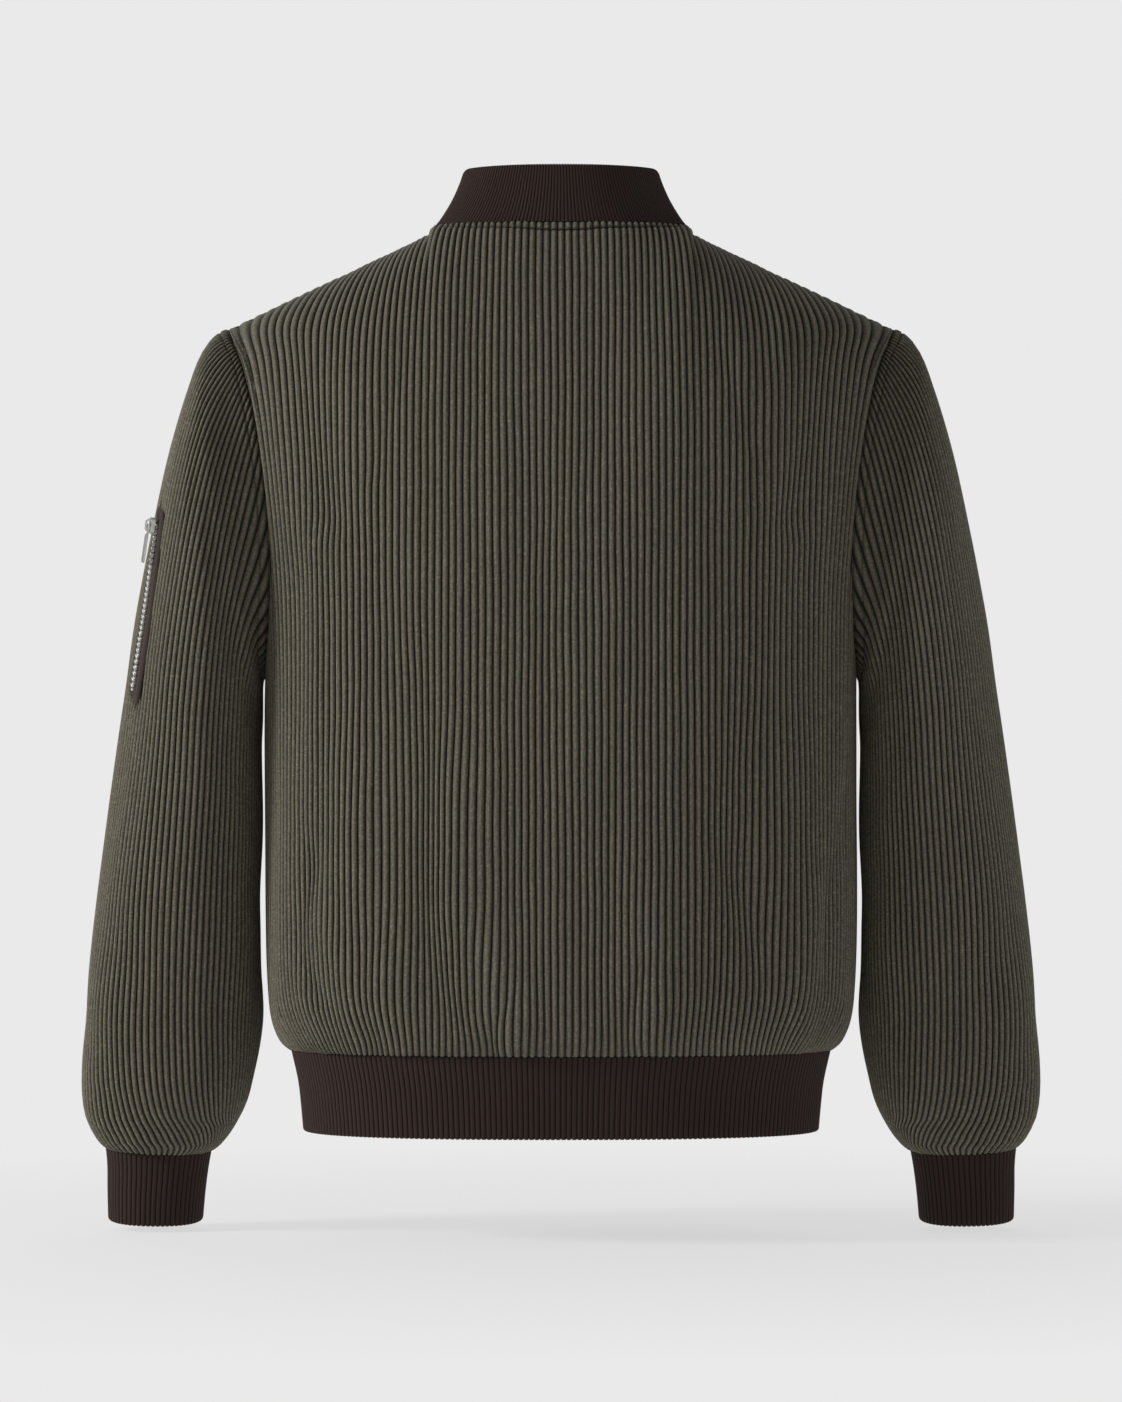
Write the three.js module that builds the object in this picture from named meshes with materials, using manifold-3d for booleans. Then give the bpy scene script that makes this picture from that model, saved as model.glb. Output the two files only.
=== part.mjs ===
// Corduroy bomber jacket, filled out as worn, with no wearer.
// Millimetres. +Z is up, the wearer faces +Y and the wearer's right side is +X.
// The origin is the middle of the neck opening, level with the back neck seam.
import * as THREE from 'three';
import { mergeVertices } from 'three/addons/utils/BufferGeometryUtils.js';
import Module from 'manifold-3d';

// Cloth and seams
const CLOTH = 2.0;            // corduroy wall
const RIB_CLOTH = 3.4;        // folded rib knit of hem and cuffs
const COLLAR_CLOTH = 4.6;     // folded rib knit of the collar
const SEAM_GAP = 0.3;         // space left between two pieces at a seam

// Body levels
const HEM_SEAM_Z = -605;
const HEM_BOTTOM_Z = -665;
const UNDERARM_Z = -330;
const FRONT_EDGE = 9;         // half distance between the two front edges

// Neck and shoulders
const NECK = { halfWidth: 96, back: 70, front: 56, frontDrop: 70 };
const COLLAR_HEIGHT = 43;
const SHOULDER_TIP = { x: 243.8, z: -75 };
const ARMHOLE_HALF_DEPTH = 59;
const TOP_EASE = 1.6;         // how softly a body column rolls over the shoulder

// Body sections: half width, depth behind and before the side line, squareness
const BODY = [
  { z: -605, half: 199.5, back: 136, front: 134, square: 2.5 },
  { z: -599, half: 206, back: 143, front: 141, square: 2.5 },
  { z: -585, half: 212, back: 150, front: 147, square: 2.5 },
  { z: -565, half: 214.8, back: 153, front: 149, square: 2.5 },
  { z: -520, half: 216.4, back: 153, front: 149, square: 2.5 },
  { z: -400, half: 216.6, back: 151, front: 146, square: 2.5 },
  { z: -275, half: 217.5, back: 149, front: 142, square: 2.5 },
  { z: -200, half: 222.5, back: 146, front: 137, square: 2.6 },
  { z: -149, half: 227.5, back: 142, front: 130, square: 2.7 },
  { z: -115, half: 232, back: 136, front: 122, square: 2.8 },
  { z: -97, half: 236, back: 131, front: 116, square: 2.8 },
  { z: -75, half: 243.8, back: 121, front: 106, square: 2.8 },
  { z: -55, half: 244.5, back: 110, front: 95, square: 2.8 },
  { z: -30, half: 244, back: 93, front: 80, square: 2.8 },
  { z: 0, half: 244, back: 70, front: 60, square: 2.8 },
];

// Waistband sections, below the hem seam
const HEM = [
  { z: -665, half: 190, back: 129, front: 127, square: 2.5 },
  { z: -645, half: 191.8, back: 130, front: 128, square: 2.5 },
  { z: -628, half: 193.8, back: 132, front: 130, square: 2.5 },
  { z: -605, half: 199, back: 136, front: 134, square: 2.5 },
];

// Sleeve rings: each spans from the outer rail to the inner rail, beside the body.
// depth is half the ring's size front to back, middle its centre along Y, tilt how much
// lower its back edge hangs, turn how far its flat side faces backwards (degrees).
const SLEEVE = [
  { outX: 244.3, outZ: -75, inX: 217.5, inZ: -330, depth: 59, middle: 0, tilt: 0, turn: 0 },
  { outX: 255, outZ: -82, inX: 221, inZ: -337, depth: 69, middle: 0, tilt: 0, turn: 0 },
  { outX: 268, outZ: -105, inX: 221.5, inZ: -345, depth: 77, middle: 0, tilt: 0, turn: 5 },
  { outX: 279, outZ: -136, inX: 221.5, inZ: -356, depth: 81, middle: 2, tilt: 0, turn: 13 },
  { outX: 289, outZ: -171, inX: 221.5, inZ: -370, depth: 84, middle: 4, tilt: 0, turn: 22 },
  { outX: 299, outZ: -215, inX: 221.5, inZ: -388, depth: 85, middle: 6, tilt: 0, turn: 28 },
  { outX: 308, outZ: -258, inX: 221.5, inZ: -408, depth: 84, middle: 8, tilt: 0, turn: 31 },
  { outX: 316.5, outZ: -303, inX: 221, inZ: -430, depth: 82, middle: 9, tilt: 0, turn: 31 },
  { outX: 324, outZ: -353, inX: 220.5, inZ: -456, depth: 79, middle: 10, tilt: 0, turn: 27 },
  { outX: 331, outZ: -405, inX: 220, inZ: -487, depth: 76, middle: 12, tilt: 1, turn: 20 },
  { outX: 338, outZ: -456, inX: 220, inZ: -520, depth: 73, middle: 15, tilt: 2, turn: 14 },
  { outX: 344.5, outZ: -505, inX: 219.5, inZ: -553, depth: 70, middle: 19, tilt: 3, turn: 9 },
  { outX: 350, outZ: -552, inX: 220.5, inZ: -585, depth: 67, middle: 24, tilt: 4, turn: 5 },
  { outX: 354, outZ: -596, inX: 224.5, inZ: -614, depth: 63, middle: 29, tilt: 5, turn: 2 },
  { outX: 355.4, outZ: -630, inX: 232, inZ: -640, depth: 59, middle: 33, tilt: 6, turn: 0 },
  { outX: 352.5, outZ: -656, inX: 242, inZ: -661, depth: 53, middle: 36, tilt: 6, turn: 0 },
  { outX: 345.5, outZ: -671, inX: 251, inZ: -674.5, depth: 46, middle: 38, tilt: 6, turn: 0 },
  { outX: 338.6, outZ: -679, inX: 259.5, inZ: -681.5, depth: 38.5, middle: 39, tilt: 6, turn: 0 },
];
const CUFF = [
  { outX: 338.6, outZ: -679, inX: 259.5, inZ: -681.5, depth: 38.5, middle: 39, tilt: 6, turn: 0 },
  { outX: 337.4, outZ: -693, inX: 262, inZ: -695, depth: 37.5, middle: 40, tilt: 6, turn: 0 },
  { outX: 337.4, outZ: -712, inX: 264.5, inZ: -713.5, depth: 37, middle: 42, tilt: 6, turn: 0 },
  { outX: 337, outZ: -734, inX: 266.5, inZ: -735, depth: 36.5, middle: 44, tilt: 6, turn: 0 },
];
const SLEEVE_SQUARE = 2.3;

// Collar profile: share of its height, share of the neck ring's width and depth
const COLLAR = [
  { up: 0, width: 1, depth: 1 },
  { up: 0.14, width: 0.945, depth: 0.965 },
  { up: 0.48, width: 0.85, depth: 0.91 },
  { up: 0.8, width: 0.785, depth: 0.875 },
  { up: 1, width: 0.755, depth: 0.86 },
];

// Largest folds: arc is measured round the body from the centre back towards +X.
// lean is how far the fold's foot stands beside its head, sway its S bend on the way.
const BODY_FOLDS = [
  { arc: -128, top: -250, foot: -596, lean: 62, sway: 12, width: 26, depth: -5 },
  { arc: -92, top: -330, foot: -600, lean: 58, sway: 10, width: 24, depth: 4.2 },
  { arc: -168, top: -350, foot: -590, lean: 44, sway: 6, width: 22, depth: 2.6 },
  { arc: 138, top: -300, foot: -596, lean: -34, sway: -8, width: 28, depth: -3 },
  { arc: 178, top: -340, foot: -598, lean: -22, sway: -6, width: 24, depth: 2.4 },
  { arc: 30, top: -440, foot: -602, lean: 10, sway: 3, width: 22, depth: -2.2 },
  { arc: -205, top: -60, foot: -230, lean: 40, sway: 4, width: 22, depth: -3.2 },
  { arc: 205, top: -60, foot: -230, lean: -40, sway: -4, width: 22, depth: -3.2 },
  { arc: 392, top: -200, foot: -596, lean: 40, sway: 10, width: 28, depth: -4.4 },
  { arc: -400, top: -230, foot: -596, lean: -46, sway: -9, width: 28, depth: -4 },
  { arc: 470, top: -330, foot: -600, lean: 26, sway: 6, width: 24, depth: 3 },
  { arc: -476, top: -300, foot: -600, lean: -24, sway: -6, width: 24, depth: 3.2 },
];
// Sleeve folds: ring is the row of SLEEVE at the fold's middle, angle its place round it.
const SLEEVE_FOLDS = [
  { ring: 9.2, angle: 150, rings: 1.0, span: 70, slope: 0.5, depth: -4 },
  { ring: 10.6, angle: 205, rings: 0.9, span: 80, slope: -0.4, depth: -4.5 },
  { ring: 12.0, angle: 120, rings: 0.8, span: 75, slope: 0.6, depth: -3 },
  { ring: 13.6, angle: 230, rings: 0.7, span: 70, slope: 0.3, depth: -3.4 },
  { ring: 4.0, angle: 120, rings: 1.1, span: 50, slope: 0.9, depth: -3 },
];

// Triangles: how many columns and rows the walls have
const NECK_STEPS = 8;
const SHOULDER_STEPS = 6;
const BESIDE_STEPS = 9;
const ARMHOLE_STEPS = 6;
const BODY_ROWS = [0, 0.01, 0.032, 0.11, 0.24, 0.38, 0.52, 0.66, 0.78, 0.87, 0.94, 1];
const SLEEVE_COLUMNS = 30;
const BAND_COLUMNS = 56;
const CUFF_COLUMNS = 24;
// Ribs of the knit bands; the collar's real ones are half as wide
const RIBS = { hem: 268, cuff: 62, collar: 98, deep: 0.9 };

// Zips
const ZIP = { chain: 5.8, chainThick: 2.4, tapeThick: 1.1, tapeDeep: 0.4, rows: 26 };
const CHAIN_PROUD = 0.3;      // how far the front chain stands out of the front's surface
const BOX_PROUD = 1;
const ZIP_FOOT = 0.001;       // shares of the centre-front line, from the waistband's bottom
const BOX_TOP = 0.018;
const CHAIN_TOP = 0.995;
const SLIDER_AT = 0.972;
const SLIDER_LIFT = 1.3;      // the front slider's underside above the front's surface
const POCKET = { top: 4.62, foot: 7.72, angle: 1, width: 24, corner: 7, lift: 0.4, thick: 2.6, rows: 14 };
const POCKET_CHAIN = { width: 5.2, thick: 1.5, from: 0.08, to: 0.95, corner: 1 };
const POCKET_SLIDER = { down: 0.085, lift: 0.5 };
const SLIDER = { long: 12, wide: 8.4, thick: 3.0, corner: 2.4 };
const ARCH = { wide: 2.0, long: 9, high: 3.9, bar: 1.1, leg: 1.7, bevel: 1.2, sunk: 0.4 };
const PULL = { long: 28, wide: 7, thick: 1.4, eyeLong: 7.2, arm: 1.5, bar: 1.6, axisHigh: 4.35, corner: 2.5 };
const PULL_SIDE_CLEAR = 0.5;  // the arch stands this far from the arms of the pull
const FRONT_PULL_LIES = 27;   // degrees that the front pull tab is held off by the chest

const COLOURS = {
  corduroy: { color: 0x5d5a4a, roughness: 0.95, metalness: 0 },
  rib: { color: 0x2f2622, roughness: 0.95, metalness: 0 },
  tape: { color: 0x2b2623, roughness: 0.9, metalness: 0 },
  nickel: { color: 0xb9b8b2, roughness: 0.3, metalness: 1 },
};

const QUARTER = Math.PI / 2;
const DEGREE = Math.PI / 180;
const clamp = (value, low, high) => Math.min(high, Math.max(low, value));
const mix = (a, b, share) => a + (b - a) * share;
const soften = (share) => { const s = clamp(share, 0, 1); return s * s * (3 - 2 * s); };
const power = (value, exponent) => Math.sign(value) * Math.abs(value) ** exponent;

// A named column of a table at any place along it, as a smooth curve through its rows
function column(rows, key, name, at) {
  const last = rows.length - 1;
  let i = 0;
  while (i < last - 1 && at > rows[i + 1][key]) i += 1;
  const slope = (k) => {
    const a = rows[Math.max(k - 1, 0)];
    const b = rows[Math.min(k + 1, last)];
    return (b[name] - a[name]) / (b[key] - a[key]);
  };
  const [low, high] = [rows[i], rows[i + 1]];
  const step = high[key] - low[key];
  const s = clamp((at - low[key]) / step, 0, 1);
  const rise = s * s * (3 - 2 * s);
  return mix(low[name], high[name], rise)
    + step * (s * (1 - s) ** 2 * slope(i) - s * s * (1 - s) * slope(i + 1));
}

// A point of a rounded section. turn is 0 at the centre back and 180 degrees at the
// centre front, positive towards +X.
function sectionPoint(rows, turn, z) {
  const square = column(rows, 'z', 'square', z);
  const side = power(Math.sin(turn), 2 / square);
  const depth = power(Math.cos(turn), 2 / square);
  const reach = depth > 0 ? column(rows, 'z', 'back', z) : column(rows, 'z', 'front', z);
  return new THREE.Vector3(column(rows, 'z', 'half', z) * side, -reach * depth, z);
}

// The turn, measured from the centre front, at which a section is FRONT_EDGE wide
function frontEdgeTurn(rows, z) {
  const share = FRONT_EDGE / column(rows, 'z', 'half', z);
  return Math.asin(share ** (column(rows, 'z', 'square', z) / 2));
}

// Distance round the chest section from the centre back or front to the side seam
const CHEST_Z = -400;
const ARC_STEPS = 400;
function arcTable(start, end) {
  const table = [{ turn: start, arc: 0 }];
  let before = sectionPoint(BODY, start, CHEST_Z);
  for (let i = 1; i <= ARC_STEPS; i += 1) {
    const turn = mix(start, end, i / ARC_STEPS);
    const point = sectionPoint(BODY, turn, CHEST_Z);
    table.push({ turn, arc: table[i - 1].arc + point.distanceTo(before) });
    before = point;
  }
  return table;
}
const BACK_ARCS = arcTable(0, QUARTER);
const FRONT_ARCS = arcTable(2 * QUARTER, QUARTER);
const BACK_ARC = BACK_ARCS.at(-1).arc;
const FRONT_ARC = FRONT_ARCS.at(-1).arc;

// The turn at a distance round the body from the centre back, and the other way round
function turnAtArc(arc) {
  const [table, far] = Math.abs(arc) <= BACK_ARC
    ? [BACK_ARCS, Math.abs(arc)] : [FRONT_ARCS, BACK_ARC + FRONT_ARC - Math.abs(arc)];
  const i = clamp(table.findIndex((row) => row.arc >= far), 1, ARC_STEPS);
  const share = (far - table[i - 1].arc) / (table[i].arc - table[i - 1].arc);
  return Math.sign(arc || 1) * mix(table[i - 1].turn, table[i].turn, share);
}

// The neck seam: angle is 0 at the centre back and 180 degrees at the centre front
const NECK_DROP_FROM = 70 * DEGREE;
function neckPoint(angle) {
  const reach = Math.cos(angle) > 0 ? NECK.back : NECK.front;
  const share = clamp((Math.abs(angle) - NECK_DROP_FROM) / (Math.PI - NECK_DROP_FROM), 0, 1);
  const drop = NECK.frontDrop * (1 - Math.cos(Math.PI * share)) / 2;
  return new THREE.Vector3(NECK.halfWidth * Math.sin(angle), -reach * Math.cos(angle), -drop);
}

// The armhole: angle is 0 at the shoulder tip, 90 degrees at its back edge, 180 under the arm
function armholePoint(angle) {
  const middle = (SHOULDER_TIP.z + UNDERARM_Z) / 2;
  const z = middle + (SHOULDER_TIP.z - middle) * Math.cos(angle);
  const y = -ARMHOLE_HALF_DEPTH * Math.sin(angle);
  const square = column(BODY, 'z', 'square', z);
  const reach = column(BODY, 'z', y < 0 ? 'back' : 'front', z);
  const x = column(BODY, 'z', 'half', z) * (1 - Math.abs(y / reach) ** square) ** (1 / square);
  return new THREE.Vector3(x, y, z);
}

// The seam that the body column at an arc runs up to: neck, shoulder or armhole
const SHOULDER_FROM_SIDE = 69;  // cloth this far from the side seam reaches the shoulder tip
const BESIDE_FROM_SIDE = 62;    // cloth between these two runs up beside the armhole
const LOWER_ARMHOLE = 108 * DEGREE;
function armholeAngle(fromSide) {
  if (fromSide > BESIDE_FROM_SIDE) {
    return (LOWER_ARMHOLE * (SHOULDER_FROM_SIDE - fromSide)) / (SHOULDER_FROM_SIDE - BESIDE_FROM_SIDE);
  }
  return Math.PI - Math.asin((fromSide / BESIDE_FROM_SIDE) * Math.sin(LOWER_ARMHOLE));
}
function seamAbove(arc) {
  const front = Math.abs(arc) > BACK_ARC;
  const far = front ? BACK_ARC + FRONT_ARC - Math.abs(arc) : Math.abs(arc);
  const total = front ? FRONT_ARC : BACK_ARC;
  const side = Math.sign(arc || 1);
  let point;
  if (far < NECK.halfWidth) {
    const angle = Math.asin(far / NECK.halfWidth);
    point = neckPoint(front ? Math.PI - angle : angle);
  } else if (far < total - SHOULDER_FROM_SIDE) {
    const share = (far - NECK.halfWidth) / (total - SHOULDER_FROM_SIDE - NECK.halfWidth);
    const z = mix(neckPoint(QUARTER).z, SHOULDER_TIP.z, share);
    point = new THREE.Vector3(mix(NECK.halfWidth, SHOULDER_TIP.x, share), 0, z);
  } else {
    point = armholePoint((front ? -1 : 1) * armholeAngle(total - far));
  }
  point.x *= side;
  return point;
}

// How far the folds move the body's cloth outwards at an arc and a height
function bodyFold(arc, z) {
  let out = 0;
  for (const fold of BODY_FOLDS) {
    const down = (fold.top - z) / (fold.top - fold.foot);
    const fade = soften(down * 2.5) * soften((1.06 - down) * 6);
    const centre = fold.arc + fold.lean * down + fold.sway * Math.sin(down * 2 * Math.PI);
    out += fade * fold.depth * Math.exp(-(((arc - centre) / fold.width) ** 2));
  }
  return out;
}

// The body's outer surface: arc round the body, up from 0 at the hem seam to 1 at the top seam
const SIDEWAYS_PULL = 3;      // how far down the cloth leans towards its seam sideways
const FORWARD_PULL = 7;       // the same towards the shoulder ridge
const SEAM_PULL = 34;         // the last of it, close under the neck seam
const RIDGE_FROM = 25;        // arcs between which the ridge takes over from the neck
const RIDGE_TO = 150;
function bodyPoint(arc, up) {
  const seam = seamAbove(arc);
  const z = mix(HEM_SEAM_Z + SEAM_GAP / 2, seam.z, 1 - (1 - up) ** TOP_EASE);
  const turn = turnAtArc(arc);
  const atSection = (level) => {
    const edge = frontEdgeTurn(BODY, level);
    const chestEdge = frontEdgeTurn(BODY, CHEST_Z);
    const past = clamp((Math.abs(turn) - QUARTER) / (QUARTER - chestEdge), 0, 1.2);
    const moved = past > 0 ? Math.sign(turn) * mix(QUARTER, 2 * QUARTER - edge, past) : turn;
    return sectionPoint(BODY, moved, level);
  };
  const point = atSection(z);
  const head = atSection(seam.z);
  point.x += (seam.x - head.x) * up ** SIDEWAYS_PULL;
  const far = Math.min(Math.abs(arc), BACK_ARC + FRONT_ARC - Math.abs(arc));
  const centre = Math.abs(arc) > BACK_ARC ? NECK.front : -NECK.back;
  const share = soften((far - RIDGE_FROM) / (RIDGE_TO - RIDGE_FROM));
  const ridge = far > RIDGE_TO ? seam.y : mix(centre, 0, share);
  point.y += (ridge - head.y) * up ** FORWARD_PULL + (seam.y - ridge) * up ** SEAM_PULL;
  const away = new THREE.Vector3(point.x, point.y * 2, 0).normalize();
  return point.addScaledVector(away, bodyFold(arc, z));
}

// The outward normal of a surface function at a place, from points beside it
const NORMAL_STEP = { across: 1.5, along: 0.02 };
function normalOf(surface, across, along, step = NORMAL_STEP) {
  const low = clamp(along - step.along, 0, 1);
  const high = clamp(along + step.along, 0, 1);
  const a = surface(across + step.across, along).sub(surface(across - step.across, along));
  const b = surface(across, high).sub(surface(across, low));
  return a.cross(b).normalize();
}

// Solid wall between an outer and an inner set of rows of points
class Wall {
  constructor() {
    this.points = [];
    this.faces = [];
  }

  add(points, closed) {
    const first = this.points.length;
    this.points.push(...points);
    const row = points.map((_, i) => first + i);
    return closed ? [...row, first] : row;
  }

  strip(a, b) {
    const [lastA, lastB] = [a.length - 1, b.length - 1];
    let [i, j] = [0, 0];
    while (i < lastA || j < lastB) {
      const stepA = i < lastA ? (i + 1) / lastA : Infinity;
      const stepB = j < lastB ? (j + 1) / lastB : Infinity;
      if (stepA <= stepB) {
        this.faces.push([a[i], b[j], a[i + 1]]);
        i += 1;
      } else {
        this.faces.push([a[i], b[j], b[j + 1]]);
        j += 1;
      }
    }
  }

  geometry() {
    const geometry = new THREE.BufferGeometry();
    const flat = this.points.flatMap((point) => [point.x, point.y, point.z]);
    geometry.setAttribute('position', new THREE.Float32BufferAttribute(flat, 3));
    let volume = 0;
    for (const [a, b, c] of this.faces) {
      const [p, q, r] = [this.points[a], this.points[b], this.points[c]];
      volume += p.dot(new THREE.Vector3().crossVectors(q, r));
    }
    const faces = volume > 0 ? this.faces : this.faces.map(([a, b, c]) => [a, c, b]);
    geometry.setIndex(faces.flat());
    return geometry;
  }
}

function wallGeometry(outerRows, innerRows, closed) {
  const wall = new Wall();
  const outer = outerRows.map((points) => wall.add(points, closed));
  const inner = innerRows.map((points) => wall.add(points, closed));
  outer.slice(1).forEach((row, i) => wall.strip(outer[i], row));
  inner.slice(1).forEach((row, i) => wall.strip(row, inner[i]));
  wall.strip(inner[0], outer[0]);
  wall.strip(outer.at(-1), inner.at(-1));
  if (!closed) {
    const edge = (rows, at) => rows.map((row) => row.at(at));
    wall.strip(edge(outer, 0), edge(inner, 0));
    wall.strip(edge(inner, -1), edge(outer, -1));
  }
  return wall.geometry();
}

// Rows of points of a surface function, and the same moved in along its normals
function grid(surface, columns, rows) {
  return rows.map((along) => columns.map((across) => surface(across, along)));
}
function gridInside(surface, columns, rows, depth, step = NORMAL_STEP) {
  return rows.map((along) => columns.map((across) => (
    surface(across, along).addScaledVector(normalOf(surface, across, along, step), -depth))));
}

// Arcs of the body's columns from the side seam to the middle, closer at the armhole
function halfColumns(total, edge) {
  const list = [];
  const beside = total - BESIDE_FROM_SIDE;
  const shoulder = total - SHOULDER_FROM_SIDE;
  for (let i = 0; i < ARMHOLE_STEPS; i += 1) {
    const angle = mix(Math.PI, LOWER_ARMHOLE, i / ARMHOLE_STEPS);
    list.push(total - (BESIDE_FROM_SIDE * Math.sin(angle)) / Math.sin(LOWER_ARMHOLE));
  }
  for (let i = 0; i < BESIDE_STEPS; i += 1) list.push(mix(beside, shoulder, i / BESIDE_STEPS));
  for (let i = 0; i < SHOULDER_STEPS; i += 1) list.push(mix(shoulder, NECK.halfWidth, i / SHOULDER_STEPS));
  for (let i = 0; i <= NECK_STEPS; i += 1) {
    const angle = mix(QUARTER, Math.asin(edge / NECK.halfWidth), i / NECK_STEPS);
    list.push(NECK.halfWidth * Math.sin(angle));
  }
  return list;
}

const HALF_GAP = SEAM_GAP / 2;

// A body panel over a list of arcs; away is -1 on the back and 1 on the fronts
function bodyPanel(columns, away) {
  const surface = (arc, up) => {
    const point = bodyPoint(arc, up);
    point.y += away * HALF_GAP;
    return point;
  };
  const outer = grid(surface, columns, BODY_ROWS);
  const inner = gridInside(surface, columns, BODY_ROWS, CLOTH);
  columns.forEach((arc, i) => {
    const far = Math.min(Math.abs(arc), BACK_ARC + FRONT_ARC - Math.abs(arc));
    const onShoulder = far >= NECK.halfWidth && far <= BACK_ARC - SHOULDER_FROM_SIDE;
    if (onShoulder) inner.at(-1)[i].y = outer.at(-1)[i].y;
    if (Math.abs(Math.abs(arc) - BACK_ARC) < 1) {
      inner.forEach((row, k) => { row[i].y = outer[k][i].y; });
    }
  });
  return wallGeometry(outer, inner, false);
}

function backPanel() {
  const half = halfColumns(BACK_ARC - HALF_GAP, 0);
  return bodyPanel([...half.map((arc) => -arc), ...half.slice(0, -1).reverse()], -1);
}

function frontPanel(side) {
  const chestEdge = FRONT_ARC - arcToFront(2 * QUARTER - frontEdgeTurn(BODY, CHEST_Z));
  const half = halfColumns(FRONT_ARC - HALF_GAP, chestEdge);
  return bodyPanel(half.map((arc) => side * (BACK_ARC + FRONT_ARC - arc)), 1);
}

// Distance from the side seam to a turn on the front, round the chest
function arcToFront(turn) {
  const i = clamp(FRONT_ARCS.findIndex((row) => row.turn <= turn), 1, ARC_STEPS);
  const [low, high] = [FRONT_ARCS[i - 1], FRONT_ARCS[i]];
  return FRONT_ARC - mix(low.arc, high.arc, (turn - low.turn) / (high.turn - low.turn));
}

const steps = (count, from, to) => Array.from({ length: count + 1 }, (_, i) => mix(from, to, i / count));

// Places across a band that cut its middle line into equal lengths
const EVEN_STEPS = 1200;
function evenly(surface, count, from, to) {
  const places = steps(EVEN_STEPS, from, to);
  const points = places.map((place) => surface(place, 0.5));
  const lengths = [0];
  points.slice(1).forEach((point, i) => lengths.push(lengths[i] + point.distanceTo(points[i])));
  return steps(count, 0, lengths.at(-1)).map((length) => {
    const i = clamp(lengths.findIndex((far) => far >= length), 1, EVEN_STEPS);
    const share = (length - lengths[i - 1]) / (lengths[i] - lengths[i - 1]);
    return mix(places[i - 1], places[i], clamp(share, 0, 1));
  });
}

// A band's outer rows cut finer along their facets, every other point sunk between two ribs
function ribbedRows(outer, inner, ribs, closed) {
  return outer.map((row, k) => {
    const [plain, under] = [row, inner[k]].map((points) => (closed ? [...points, points[0]] : points));
    const last = plain.length - 1;
    const cut = steps(2 * ribs, 0, last).map((at, i) => {
      const low = Math.min(Math.floor(at), last - 1);
      const between = (points) => points[low].clone().lerp(points[low + 1], at - low);
      const point = between(plain);
      if (i % 2 === 0) return point;
      return point.addScaledVector(between(under).sub(point).normalize(), RIBS.deep);
    });
    return closed ? cut.slice(0, -1) : cut;
  });
}

// Waistband: share runs from -1 to 1 round the back, from front edge to front edge
function hemPoint(share, up) {
  const z = mix(HEM_BOTTOM_Z, HEM_SEAM_Z - HALF_GAP, up);
  return sectionPoint(HEM, share * (Math.PI - frontEdgeTurn(HEM, z)), z);
}
const BAND_STEP = { across: 0.004, along: 0.02 };
const HEM_ROWS = [0, 1];

function hemBand() {
  const columns = evenly(hemPoint, BAND_COLUMNS, -1, 1);
  const outer = grid(hemPoint, columns, HEM_ROWS);
  const inner = gridInside(hemPoint, columns, HEM_ROWS, RIB_CLOTH, BAND_STEP);
  levelled(outer, inner, 0);
  levelled(outer, inner, -1);
  return wallGeometry(ribbedRows(outer, inner, RIBS.hem, false), inner, false);
}

// Keeps a wall's rim level, so that it meets the next piece evenly
function levelled(outer, inner, row) {
  inner.at(row).forEach((point, i) => { point.z = outer.at(row)[i].z; });
}

// Collar: share runs round the neck as on the waistband, up from the neck seam to the fold
function collarPoint(share, up) {
  const width = column(COLLAR, 'up', 'width', up);
  const end = Math.asin(FRONT_EDGE / (NECK.halfWidth * width));
  const base = neckPoint(share * (Math.PI - end));
  const depth = column(COLLAR, 'up', 'depth', up);
  return new THREE.Vector3(base.x * width, base.y * depth, base.z + SEAM_GAP + COLLAR_HEIGHT * up);
}
const COLLAR_ROWS = [0, 0.42, 0.94];
const FOLD_ROUND = 1.6;       // radius of the collar's top fold

function collarBand() {
  const end = Math.PI - Math.asin(FRONT_EDGE / NECK.halfWidth);
  const half = [...steps(NECK_STEPS, 0, QUARTER), ...steps(NECK_STEPS, QUARTER, end).slice(1)];
  const columns = [...half.slice(1).reverse().map((angle) => -angle), ...half].map((angle) => angle / end);
  const outer = grid(collarPoint, columns, COLLAR_ROWS);
  const inner = gridInside(collarPoint, columns, COLLAR_ROWS, COLLAR_CLOTH, BAND_STEP);
  const rounded = (rows, towards) => rows.at(-1).map((point, i) => (
    point.clone().lerp(towards.at(-1)[i], FOLD_ROUND / COLLAR_CLOTH)));
  const tops = [rounded(outer, inner), rounded(inner, outer)];
  tops.forEach((row) => row.forEach((point) => { point.z += FOLD_ROUND / 2; }));
  outer.push(tops[0]);
  inner.push(tops[1]);
  levelled(outer, inner, 0);
  return wallGeometry(ribbedRows(outer, inner, RIBS.collar, false), inner, false);
}

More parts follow.
